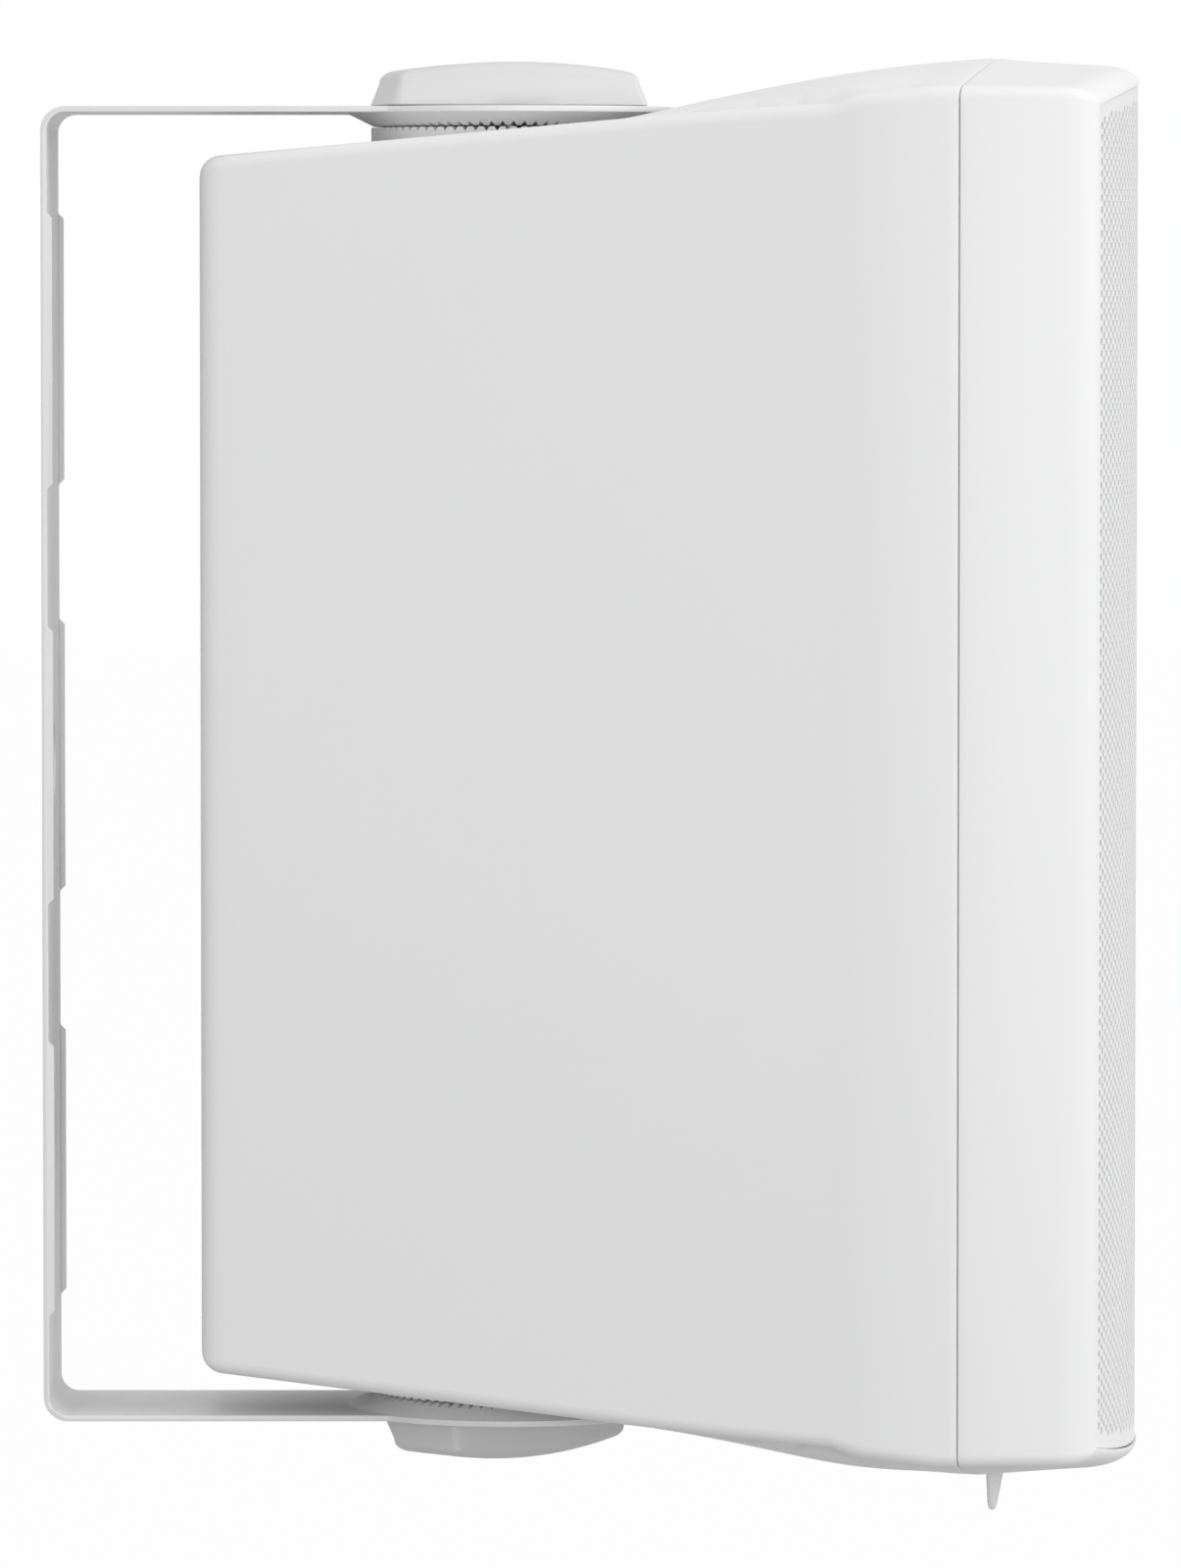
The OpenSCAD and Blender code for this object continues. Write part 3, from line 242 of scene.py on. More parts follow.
class Finish:
    """A surface finish. What is the same all over it is set on the shader; the rest is linked in."""

    def __init__(self, name, **constants):
        self.material = bpy.data.materials.new(name)
        self.material.use_nodes = True
        self.nodes = self.material.node_tree.nodes
        self.links = self.material.node_tree.links
        self.shader = self.nodes["Principled BSDF"]
        for socket, value in constants.items():
            self.shader.inputs[socket.replace("_", " ")].default_value = value
        self.place = self.node("ShaderNodeTexCoord", output="Object")

    def node(self, kind, settings=None, values=None, output=0):
        node = self.nodes.new(kind)
        for key, value in (settings or {}).items():
            setattr(node, key, value)
        for key, value in (values or {}).items():
            if isinstance(value, Level):
                self.links.new(value.socket, node.inputs[key])
            else:
                node.inputs[key].default_value = value
        return Level(self, node.outputs[output])

    def noise(self, scale, detail=2.0, stretch=None):
        place = self.place
        if stretch:
            place = self.node("ShaderNodeMapping", {}, {"Vector": place, "Scale": stretch})
        return self.node("ShaderNodeTexNoise", {}, {"Vector": place, "Scale": scale, "Detail": detail})

    def axes(self):
        return [self.node("ShaderNodeSeparateXYZ", {}, {0: self.place}, output=i) for i in range(3)]

    def tint(self, share, first, second):
        return self.node("ShaderNodeMix", {"data_type": "RGBA"},
                         {0: share, 6: (*first, 1.0), 7: (*second, 1.0)}, output=2)

    def apply(self, colour, roughness, height=None, depth=0.0, strength=1.0):
        """Depth is the height of the relief in metres."""
        feeds = {"Base Color": colour, "Roughness": roughness}
        if height is not None:
            relief = {"Height": height, "Distance": depth, "Strength": strength}
            feeds["Normal"] = self.node("ShaderNodeBump", {}, relief)
        for socket, value in feeds.items():
            self.links.new(value.socket, self.shader.inputs[socket])

    def on(self, piece, body=None, stands_for=()):
        piece.data.materials.clear()
        piece.data.materials.append(self.material)
        if body:
            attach(piece, body)
        if stands_for:
            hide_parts(*stands_for)
        return piece


white_moulding = Finish("white_satin_moulding", IOR=1.5)
cast = white_moulding.noise(7.0, 3.0)
grain = white_moulding.noise(2600.0, 1.0)
white_moulding.apply(
    white_moulding.tint(cast, (0.820, 0.822, 0.825), (0.840, 0.840, 0.838)),
    0.42 + cast * 0.06 + grain * 0.05,
    grain, 0.00003, 0.25)

rear_corner = [cabinet_ring(-rear + rear_round * (1 - math.cos(a)), rear_round * (1 - math.sin(a)))
               for a in np.radians(np.linspace(0, 90, 8))]
skin = [cabinet_ring(f) for f in np.concatenate([np.linspace(-66, 20, 24), np.linspace(23, 119.8, 54)])]
mouth = [cabinet_ring(120.1, 0.05), cabinet_ring(shell_front, 0.25)]
lining = [cabinet_ring(f, shell_wall) for f in (shell_front, 112, 104, 96, 88, 80, 66, 50, 40, 20, 0, -40,
                                                shell_wall - rear)]
shell = make_piece("cabinet_moulding", [loft(rear_corner + skin + mouth + lining)])


boss_radius, boss_floor, below_skin = pocket_radius + shell_wall, 5.0, 1.2
insert_radius, insert_sleeve, insert_depth = 7.1, 12.0, 16.0


def pocket_boss(side):
    """The thick floor below a coupling, cut on the slope of the cabinet's top."""
    turn = np.linspace(0.0, 2 * np.pi, 96, endpoint=False)
    x, y = boss_radius * np.cos(turn), boss_radius * np.sin(turn)
    under_skin = rear_half_height - top_slope * slope_start - below_skin - top_slope * y
    foot = np.column_stack([x, y - reach, 0 * x + side * (pocket_floor - boss_floor)])
    head = np.column_stack([x, y - reach, side * under_skin])
    return loft([foot, head])


sleeve_low, sleeve_high = pocket_floor - insert_depth - 3.0, pocket_floor - 4.0
machine(shell, "UNION", [pocket_boss(1), pocket_boss(-1),
                         drum(insert_sleeve, sleeve_low, sleeve_high, sides=48),
                         drum(insert_sleeve, -sleeve_high, -sleeve_low, sides=48),
                         brick((-27, -46.5, -112), (27, -42.0, -12))])
rear_y = rear - reach
machine(shell, "DIFFERENCE", [
    drum(pocket_radius, pocket_floor, 190.0), drum(pocket_radius, -190.0, -pocket_floor),
    drum(insert_radius, pocket_floor - insert_depth, pocket_floor + 1.0, sides=48),
    drum(insert_radius, -pocket_floor - 1.0, insert_depth - pocket_floor, sides=48),
    brick((-19, rear_y - 20, -104), (19, rear_y + 10, -20)),
    brick((-23, rear_y - 2.2, -108), (23, rear_y + 10, -16)),
    brick((-1.9, -237.4, -200), (1.9, -230.0, -160))])
white_moulding.on(shell, "cabinet", ["cabinet_shell"])

screw_posts = make_piece("screw_posts", [
    post_to_front(side * 80.0, z, 5.0, 82.7, 116.7) for side in (-1, 1) for z in (-146.0, 0.0, 146.0)])
white_moulding.on(screw_posts, "cabinet")


# Front bezel. A second moulding of the same white ABS. It carries on the lines of the shell past the seam,
# rolls over into a rounded lip round the grille, and has the baffle for the drivers and a small peg in one.
lip_round, lip_depth, bezel_wall, bezel_back, baffle_face = 3.9, 8.0, 3.4, 120.55, 126.0
lip = [cabinet_ring(front - lip_depth + lip_depth * math.sin(a), lip_round * (1 - math.cos(a)))
       for a in np.radians(np.linspace(8, 90, 14))]
bezel_outer = [cabinet_ring(bezel_back, 0.25), cabinet_ring(bezel_back + 0.15, 0.05)]
bezel_outer += [cabinet_ring(f) for f in np.linspace(bezel_back + 0.45, front - lip_depth, 18)]
bezel_inner = [cabinet_ring(front - 0.6, lip_round + 0.05)]
bezel_inner += [cabinet_ring(f, bezel_wall) for f in (front - 2.0, 150, 144, 138, 132, 126, bezel_back)]


def cut_sheet(outline, holes, back, forward):
    """A flat board across the cabinet, with round holes given as (x, z, radius)."""
    loops = [np.asarray(outline)]
    for x, z, radius in holes:
        turn = np.linspace(0, 2 * np.pi, 64, endpoint=False)
        loops.append(np.column_stack([x + radius * np.cos(turn), z + radius * np.sin(turn)]))
    starts = np.cumsum([0] + [len(loop) for loop in loops])
    edges = [(s + i, s + (i + 1) % len(loop)) for s, loop in zip(starts, loops) for i in range(len(loop))]
    flat = np.concatenate(loops)
    points, _, faces, _, _, _ = geometry.delaunay_2d_cdt([Vector(p) for p in flat], edges, [], 0, 1e-6)
    points = np.array([(p.x, p.y) for p in points])
    kept = [f for f in faces if keep_face(points[list(f)].mean(0), outline, holes)]
    count = len(points)
    near = np.column_stack([points[:, 0], 0 * points[:, 0] - reach - back, points[:, 1]])
    far = near + (0.0, back - forward, 0.0)
    walls = [(a, b, b + count, a + count) for a, b in edges]
    return np.concatenate([near, far]), kept + [[i + count for i in f][::-1] for f in kept] + walls


def keep_face(middle, outline, holes):
    if any((middle[0] - x) ** 2 + (middle[1] - z) ** 2 < radius ** 2 for x, z, radius in holes):
        return False
    x, z = middle
    ends = np.roll(outline, -1, axis=0)
    low, high = outline[:, 1], ends[:, 1]
    spans = (low > z) != (high > z)
    cross = outline[:, 0] + (z - low) / np.where(high == low, 1e-9, high - low) * (ends[:, 0] - outline[:, 0])
    return int((spans & (x < cross)).sum()) % 2 == 1


baffle_holes = [(0, -72, 72), (0, 92, 40), (-50, 38, 20.1), (50, 38, 20.1)]
baffle_holes += [(side * 80.0, z, 2.4) for side in (-1, 1) for z in (-146.0, 0.0, 146.0)]
baffle_outline = cabinet_ring(baffle_face, bezel_wall - 1.2, 12)[:, [0, 2]]
spigot_outline = cabinet_ring(seam - 14.0, shell_wall + 1.0, 12)[:, [0, 2]]
baffle = [cut_sheet(baffle_outline, baffle_holes, 120.95, baffle_face),
          cut_sheet(spigot_outline, baffle_holes, 117.0, 121.0)]


def rounded_bar(x, y0, y1, z, corner):
    """A level slice of the peg, with rounded corners."""
    corner = min(corner, x, (y1 - y0) / 2) * 0.98
    slice_points = []
    for sx, sy, start in ((1, 1, 0), (-1, 1, 90), (-1, -1, 180), (1, -1, 270)):
        for a in np.radians(np.linspace(start, start + 90, 5)):
            middle_x = sx * (x - corner)
            middle_y = (y1 - corner) if sy > 0 else (y0 + corner)
            slice_points.append((middle_x + corner * math.cos(a), middle_y + corner * math.sin(a), z))
    return np.array(slice_points)


peg_top, peg_length, peg_half_width = -173.0, 13.0, 1.6
peg = []
for share, shrink in (
        (-0.5, 0.0), (0.0, 0.0), (0.5, 0.0), (0.85, 0.0), (0.94, 0.12), (0.985, 0.4), (1.0, 0.75)):
    slant = max(share, 0.0)
    y0, y1 = -reach - seam - 2.6 + 2.5 * slant, -reach - seam + 2.5 - 0.6 * slant
    height = peg_top - peg_length * share
    peg.append(rounded_bar(peg_half_width - shrink, y0 + shrink, y1 - shrink, height, 0.9))
bezel_walls = loft(bezel_outer + lip + bezel_inner, joined=True)
bezel = make_piece("front_bezel_moulding", [bezel_walls, *baffle, loft(peg)])
white_moulding.on(bezel, "cabinet", ["front_bezel"])


# Grille. A steel sheet, punched all over with small round holes in staggered columns, bowed across its width,
# and powder coated white. It sits inside the bezel's lip with a thin dark gap round it.
sheet_face, sheet_thick, hole_pitch, hole_radius = front - 0.4, 1.2, 2.85, 0.95
sheet_radius = bow_radius / (1 + front_bow)
bow_middle = -reach - sheet_face + sheet_radius
sheet_inset = bezel_wall + 0.9
sheet_half = half_width(side_forward(front)) - sheet_inset


def sheet_top(x):
    return top_height(x, front) - sheet_inset


def sheet_outline(inset):
    """The cut edge of the sheet, as (distance along the bow, height), with rounded corners."""
    half, corner = sheet_half - inset, 3.0 - inset
    x = np.linspace(0, half - corner, 44)
    z = sheet_top(x) - inset
    turn = np.radians([70, 50, 30, 10, 0])
    x = np.append(x, half - corner + corner * np.cos(turn))
    z = np.append(z, z[-1] - corner + corner * np.sin(turn))
    down = np.linspace(z[-1], 0, 60)[1:]
    quarter = np.column_stack([np.append(x, 0 * down + half), np.append(z, down)])
    line = np.concatenate([
        quarter, quarter[-2::-1] * (1, -1),
        quarter[1:] * (-1, -1), quarter[-2:0:-1] * (-1, 1)])
    line[:, 0] = sheet_radius * np.arcsin(line[:, 0] / sheet_radius)
    return line


def onto_bow(flat, depth):
    turn = flat[:, 0] / sheet_radius
    radius = sheet_radius - depth
    return np.column_stack([radius * np.sin(turn), bow_middle - radius * np.cos(turn), flat[:, 1]])


column = hole_pitch * math.sqrt(3) / 2
cells = []
for i in range(-60, 61):
    x = sheet_radius * math.sin(i * column / sheet_radius) if abs(i * column) < 118 else 999.0
    if abs(x) > sheet_half - 3.2:
        continue
    top = float(sheet_top(np.array(abs(x) + 1.4))) - 3.6
    rows = int(top / hole_pitch) + 1
    for k in range(-rows, rows + 1):
        height = (k + (i % 2) / 2) * hole_pitch
        if abs(height) < top:
            cells.append((i, k, i * column, height))
tile_corners = [(hole_pitch / math.sqrt(3) * math.cos(a), hole_pitch / math.sqrt(3) * math.sin(a))
                for a in np.radians(np.arange(0, 360, 60))]
hole_corners = [(hole_radius * math.cos(a), hole_radius * math.sin(a))
                for a in np.radians(np.arange(22.5, 382.5, 45))]


def web_faces():
    """Triangles between a tile's six corners (0 to 5) and its hole's eight corners (6 to 13)."""
    faces, outer, inner = [], 0, 0
    while outer < 6 or inner < 8:
        next_outer, next_inner = 60.0 * (outer + 1), 22.5 + 45.0 * (inner + 1)
        if inner >= 8 or (outer < 6 and next_outer <= next_inner):
            faces.append((outer % 6, (outer + 1) % 6, 6 + inner % 8))
            outer += 1
        else:
            faces.append((outer % 6, 6 + (inner + 1) % 8, 6 + inner % 8))
            inner += 1
    return faces


web = web_faces()


def punched_part(chosen, border):
    """The tiles of the chosen cells, each with its hole, as points and faces of the bowed sheet."""
    corner_numbers, flat, front_faces, wall_faces, used = {}, [], [], [], {}
    for _, _, s, height in chosen:
        names = []
        for ds, dz in tile_corners:
            key = (round((s + ds) * 1000), round((height + dz) * 1000))
            near = next((k for k in ((key[0] + a, key[1] + b) for a in (0, -1, 1) for b in (0, -1, 1))
                         if k in corner_numbers), None)
            if near is None:
                corner_numbers[key] = len(flat)
                flat.append((s + ds, height + dz))
                near = key
            names.append(corner_numbers[near])
        names += range(len(flat), len(flat) + 8)
        flat += [(s + ds, height + dz) for ds, dz in hole_corners]
        front_faces += [tuple(names[i] for i in face) for face in web]
        wall_faces += [(names[6 + i], names[6 + (i + 1) % 8]) for i in range(8)]
    flat = np.array(flat)
    extra_points, extra_faces, extra_walls = border
    base = len(flat)
    if len(extra_points):
        flat = np.concatenate([flat, extra_points])
        front_faces += [tuple(i + base for i in face) for face in extra_faces]
    count = len(flat)
    points = np.concatenate([onto_bow(flat, 0.0), onto_bow(flat, sheet_thick)])
    faces = front_faces + [tuple(i + count for i in face[::-1]) for face in front_faces]
    faces += [(a, a + count, b + count, b) for a, b in wall_faces]
    if len(extra_points):
        rim = sheet_outline(0.0)
        rim_points = np.concatenate([onto_bow(rim, 0.35), onto_bow(rim, sheet_thick - 0.35)])
        start, around = len(points), len(rim)
        points = np.concatenate([points, rim_points])
        for i in range(around):
            j = (i + 1) % around
            a, b = base + extra_walls[i], base + extra_walls[j]
            faces += [(a, b, start + j, start + i),
                      (start + i, start + j, start + around + j, start + around + i),
                      (start + around + i, start + around + j, b + count, a + count)]
    return points, faces


def plain_border():
    """The unpunched strip between the outermost tiles and the cut edge."""
    corners, edges = {}, {}
    for _, _, s, height in cells:
        ring = [(round(s + ds, 3), round(height + dz, 3)) for ds, dz in tile_corners]
        ring = [corners.setdefault((round(a * 50), round(b * 50)), (a, b)) for a, b in ring]
        for a, b in zip(ring, ring[1:] + ring[:1]):
            edges[frozenset((a, b))] = edges.get(frozenset((a, b)), 0) + 1
    lines = [tuple(edge) for edge, count in edges.items() if count == 1]
    rim = sheet_outline(0.35)
    points = [tuple(p) for p in rim]
    number = {}
    for line in lines:
        for p in line:
            if p not in number:
                number[p] = len(points)
                points.append(p)
    rim_edges = [(i, (i + 1) % len(rim)) for i in range(len(rim))]
    tile_edges = [(number[a], number[b]) for a, b in lines]
    out, _, faces, origins, _, _ = geometry.delaunay_2d_cdt(
        [Vector(p) for p in points], rim_edges + tile_edges, [], 0, 1e-5)
    out = np.array([(p.x, p.y) for p in out])
    taken = {(i, k) for i, k, _, _ in cells}
    kept = []
    for face in faces:
        s, height = out[list(face)].mean(0)
        if not keep_face((s, height), rim, []):
            continue
        inside = False
        for i in (math.floor(s / column), math.floor(s / column) + 1):
            k = round(height / hole_pitch - (i % 2) / 2)
            ds, dz = abs(s - i * column), abs(height - (k + (i % 2) / 2) * hole_pitch)
            in_tile = dz <= hole_pitch / 2 + 1e-4 and ds * math.sqrt(3) / 2 + dz / 2 <= hole_pitch / 2 + 1e-4
            inside = inside or (in_tile and (i, k) in taken)
        if not inside:
            kept.append(tuple(face))
    where = {origin: i for i, group in enumerate(origins) for origin in group}
    return out, kept, [where[i] for i in range(len(rim))]


powder_coat = Finish("white_powder_coat", IOR=1.5)
patches = powder_coat.noise(12.0, 3.0)
orange_peel = powder_coat.noise(900.0, 2.0)
powder_coat.apply(
    powder_coat.tint(patches, (0.805, 0.807, 0.810), (0.830, 0.830, 0.828)),
    0.36 + patches * 0.06 + orange_peel * 0.06,
    orange_peel, 0.00006, 0.3)

border = plain_border()
no_border = (np.zeros((0, 2)), [], [])
for name, low, high, edge in (("grille_left", -99, -18, no_border), ("grille_middle", -18, 18, border),
                              ("grille_right", 18, 99, no_border)):
    chosen = [cell for cell in cells if low <= cell[0] < high]
    part = make_piece(name, [punched_part(chosen, edge)], crease=40.0)
    powder_coat.on(part, "cabinet", ["grille"])


# Grille cloth. A thin black acoustic cloth, stretched over the back of the punched sheet to hide the drivers.
# It is a plain weave, cut a little smaller than the sheet and glued round its border.
cloth_front, cloth_thick, cloth_margin = sheet_thick + 0.3, 0.5, 2.0
cloth_half = sheet_radius * math.asin((sheet_half - cloth_margin) / sheet_radius)
spans, rows = 60, 60
across = np.linspace(-cloth_half, cloth_half, spans + 1)
cloth_rings = []
for depth in (cloth_front, cloth_front + cloth_thick):
    columns = []
    for s in across:
        top = float(sheet_top(np.array(abs(sheet_radius * math.sin(s / sheet_radius))))) - cloth_margin
        columns.append(onto_bow(np.column_stack([np.full(rows, s), np.linspace(-top, top, rows)]), depth))
    cloth_rings.append(np.concatenate(columns))
cloth_faces = [(i * rows + k, (i + 1) * rows + k, (i + 1) * rows + k + 1, i * rows + k + 1)
               for i in range(spans) for k in range(rows - 1)]
back_start = len(cloth_rings[0])
back_faces = [tuple(i + back_start for i in face[::-1]) for face in cloth_faces]
hem = [i * rows for i in range(spans + 1)]
hem += [spans * rows + k for k in range(1, rows)]
hem += [i * rows + rows - 1 for i in range(spans - 1, -1, -1)]
hem += list(range(rows - 2, 0, -1))
hem_faces = [(a, a + back_start, b + back_start, b) for a, b in zip(hem, hem[1:] + hem[:1])]
all_faces = cloth_faces + back_faces + hem_faces
cloth = make_piece("grille_cloth_weave", [(np.concatenate(cloth_rings), all_faces)])

black_weave = Finish("black_acoustic_cloth", Sheen_Weight=0.2)
x, _, z = black_weave.axes()
thread = 2 * math.pi / 0.0012
weft, warp = (z * thread).wave(), (x * thread).wave()
weave = weft * warp * 0.5 + 0.5
lint = black_weave.noise(300.0, 3.0)
black_weave.apply(
    black_weave.tint(weave * 0.6 + lint * 0.4, (0.012, 0.012, 0.013), (0.035, 0.035, 0.037)),
    0.85 + lint * 0.1, weave, 0.0001, 0.6)
black_weave.on(cloth, "cabinet", ["grille_cloth"])
cloth_height = 2 * (float(sheet_top(np.array(0.0))) - cloth_margin) / 1000


# Bracket. One strip of 1.5 mm steel, blanked with round ends, folded twice into a U, with short folded lips
# along its spine, then powder coated. The coat rounds off every cut edge.
def coated(name, node, radius):
    """A copy of the bare solid with its cut edges rounded as the coat leaves them."""
    mesh = solids[node].data.copy()
    mesh.name = name
    piece = bpy.data.objects.new(name, mesh)
    bpy.context.scene.collection.objects.link(piece)
    if "custom_normal" in mesh.attributes:
        mesh.attributes.remove(mesh.attributes["custom_normal"])
    work = bmesh.new()
    work.from_mesh(mesh)
    bmesh.ops.remove_doubles(work, verts=work.verts, dist=1e-6)
    bmesh.ops.dissolve_limit(work, angle_limit=math.radians(1.0), verts=work.verts, edges=work.edges)
    work.to_mesh(mesh)
    work.free()
    step = piece.modifiers.new("coat", "BEVEL")
    step.width, step.segments, step.limit_method, step.angle_limit = radius, 2, "ANGLE", math.radians(35.0)
    settle(piece)
    shade(piece, 40.0)
    return piece


bracket_coat = Finish("bracket_powder_coat", IOR=1.5)
patches, orange_peel = bracket_coat.noise(12.0, 3.0), bracket_coat.noise(900.0, 2.0)
bracket_coat.apply(
    bracket_coat.tint(patches, (0.715, 0.717, 0.720), (0.745, 0.745, 0.743)),
    0.36 + patches * 0.06 + orange_peel * 0.06, orange_peel, 0.00006, 0.3)
bracket = coated("bracket_strip", "bracket", 0.0004)
bracket_coat.on(bracket, "bracket", ["bracket"])


# Swivel couplings. Below each leg sits a conical disc with radial teeth, and on the cabinet a ring with
# matching teeth. Both are moulded in the same white plastic; the knob's clamping force locks tooth in tooth.
for node in ("bracket_disc_top", "bracket_disc_bottom", "cabinet_ring_top", "cabinet_ring_bottom"):
    white_moulding.on(solids[node])


# Clamp knobs. Each is a moulded bar with drafted sides and a long domed face, over a steel stud that runs
# through the leg and the coupling into a brass insert in the cabinet, with a plain washer below it.
knob_length, knob_width, knob_height, knob_draft, dome_radius = 65.2, 26.0, 10.8, math.radians(15), 175.0
coupling_stack, leg_thick, leg_play = 6.3 + 0.3 + 3.25, 1.5, 0.3
knob_foot = pocket_floor + coupling_stack + leg_thick + leg_play
knob_rim, knob_corner, side_bow, corner_steps, side_steps = 3.0, 2.4, 0.6, 9, 12
side_height = knob_height - knob_rim
side_inset = math.tan(knob_draft) * side_height


def knob_line(inset):
    """The knob's outline: four rounded corners, joined by straight ends and slightly bowed long sides."""
    corner = max(knob_corner - inset * 0.4, 1.0)
    half_long, half_wide = knob_length / 2 - inset, knob_width / 2 - inset
    arcs = []
    for sx, sy, start in ((1, 1, 90), (1, -1, 0), (-1, -1, -90), (-1, 1, -180)):
        turn = np.radians(np.linspace(start, start - 90, corner_steps))
        arcs.append(np.column_stack([sx * (half_wide - corner) + corner * np.cos(turn),
                                     sy * (half_long - corner) + corner * np.sin(turn)]))
    line = []
    for arc, following in zip(arcs, arcs[1:] + arcs[:1]):
        line += [arc] + [[arc[-1] + (following[0] - arc[-1]) * k / side_steps] for k in range(1, side_steps)]
    line = np.concatenate(line)
    line[:, 0] += np.sign(line[:, 0]) * side_bow * np.clip(1 - (line[:, 1] / half_long) ** 2, 0, 1)
    return line


def knob_slice(inset, share):
    line = knob_line(inset)
    return np.column_stack([line, (knob_height - line[:, 1] ** 2 / (2 * dome_radius)) * share])


def knob_face(size):
    line = knob_line(side_inset + knob_rim) * size
    return np.column_stack([line, knob_height - line[:, 1] ** 2 / (2 * dome_radius)])


def knob_seat(radius, height):
    """A round line below the knob, with a point for each point of its outline."""
    turn = np.arctan2(*knob_line(0.0).T[::-1])
    return np.column_stack([radius * np.cos(turn), radius * np.sin(turn), 0 * turn + height])


stud_hole, seat_radius, seat_depth = 4.06, 10.5, 1.7
knob_slices = [knob_seat(stud_hole, seat_depth), knob_seat(seat_radius, seat_depth)]
knob_slices += [knob_seat(seat_radius, 0.0), knob_slice(0.6, 0.0), knob_slice(0.15, 0.03)]
for share in (0.05, 0.5, 0.92):
    knob_slices.append(knob_slice(side_inset * share, side_height / knob_height * share))
for a in np.radians(np.linspace(6, 84, 9)):
    height = side_height + knob_rim * math.sin(a)
    knob_slices.append(knob_slice(side_inset * 0.96 + knob_rim * (1 - math.cos(a)), height / knob_height))
knob_slices += [knob_face(size) for size in (1.0, 0.9, 0.78, 0.64, 0.5, 0.36, 0.22, 0.08)]
knob_points, knob_faces = loft(knob_slices)
knob_moulding = Finish("knob_satin_moulding", IOR=1.5)
cast, grain = knob_moulding.noise(9.0, 3.0), knob_moulding.noise(2600.0, 1.0)
knob_moulding.apply(
    knob_moulding.tint(cast, (0.620, 0.622, 0.625), (0.650, 0.650, 0.648)),
    0.40 + cast * 0.06 + grain * 0.05, grain, 0.00003, 0.25)
for name, turn, side in (("knob_top", 14.0, 1), ("knob_bottom", 47.0, -1)):
    turn = math.radians(turn)
    line = knob_points * (-1, 1, 1)
    turned = np.column_stack([
        line[:, 0] * math.cos(turn) - line[:, 1] * math.sin(turn),
        line[:, 0] * math.sin(turn) + line[:, 1] * math.cos(turn) - reach,
        side * (line[:, 2] + knob_foot)])
    knob = make_piece(name + "_moulding", [(turned, knob_faces)], crease=50.0)
    knob_moulding.on(knob, name, [name])

zinc = Finish("zinc_plated_steel", Metallic=1.0)
bloom = zinc.noise(260.0, 3.0)
drawn = zinc.noise(90.0, 2.0, stretch=(1.0, 1.0, 14.0))
zinc.apply(zinc.tint(bloom, (0.50, 0.51, 0.53), (0.66, 0.66, 0.65)), 0.24 + bloom * 0.14 + drawn * 0.1,
           drawn, 0.00002, 0.3)
turned_brass = Finish("turned_brass", Metallic=1.0)
tool_marks = turned_brass.noise(140.0, 2.0, stretch=(1.0, 12.0, 1.0))
tarnish = turned_brass.noise(45.0, 3.0)
turned_brass.apply(turned_brass.tint(tarnish, (0.62, 0.44, 0.17), (0.80, 0.62, 0.30)), 0.22 + tarnish * 0.2,
                   tool_marks, 0.00002, 0.3)
for node in ("washer_top", "washer_bottom", "knob_stud_top", "knob_stud_bottom"):
    zinc.on(solids[node])
for node in ("insert_top", "insert_bottom"):
    turned_brass.on(solids[node])


# Seam gasket and bezel screws. A thin grey rubber seal lies in the seam between shell and bezel, and six
# zinc plated screws through the baffle pull the bezel down on it.
grey_rubber = Finish("grey_rubber_seal")
bloom = grey_rubber.noise(60.0, 3.0)
grey_rubber.apply(grey_rubber.tint(bloom, (0.40, 0.40, 0.40), (0.50, 0.50, 0.50)), 0.6 + bloom * 0.2,
                  bloom, 0.00005, 0.3)
grey_rubber.on(solids["seam_gasket"])
zinc.on(solids["bezel_screws"])


# Woofer. A pressed steel basket with a butyl surround, a doped cloth spider and a black pulp cone with its
# dust cap. Behind it are the copper voice coil, the steel plates and a ring of sintered ferrite.
for node in ("woofer_basket", "woofer_screws", "woofer_top_plate", "woofer_back_plate"):
    zinc.on(solids[node])
black_rubber = Finish("black_rubber")
bloom = black_rubber.noise(60.0, 3.0)
pores = black_rubber.noise(1500.0, 1.0)
black_rubber.apply(black_rubber.tint(bloom, (0.018, 0.018, 0.019), (0.035, 0.035, 0.036)), 0.55 + bloom * 0.2,
                   pores, 0.00005, 0.3)
for node in ("woofer_surround", "woofer_gasket"):
    black_rubber.on(solids[node])
doped_cloth = Finish("doped_spider_cloth", Sheen_Weight=0.1)
x, _, z = doped_cloth.axes()
thread = 2 * math.pi / 0.0008
threads = (z * thread).wave() * (x * thread).wave() * 0.5 + 0.5
resin = doped_cloth.noise(80.0, 3.0)
doped_cloth.apply(doped_cloth.tint(threads * 0.5 + resin * 0.5, (0.30, 0.18, 0.06), (0.55, 0.40, 0.18)),
                  0.6 + resin * 0.25, threads, 0.0001, 0.5)
doped_cloth.on(solids["woofer_spider"])
paper_pulp = Finish("black_paper_pulp")
fibres = paper_pulp.noise(420.0, 4.0)
dye = paper_pulp.noise(30.0, 2.0)
paper_pulp.apply(paper_pulp.tint(fibres * 0.7 + dye * 0.3, (0.016, 0.016, 0.018), (0.055, 0.055, 0.060)),
                 0.62 + fibres * 0.25, fibres, 0.0001, 0.4)
for node in ("woofer_cone", "woofer_dust_cap", "tweeter_dome"):
    paper_pulp.on(solids[node])
copper_wire = Finish("enamelled_copper_wire", Metallic=1.0)
_, y, z = copper_wire.axes()
winding = 2 * math.pi / 0.0007
turns = ((y + z * 0.15) * winding).wave() * 0.5 + 0.5
varnish = copper_wire.noise(50.0, 3.0)
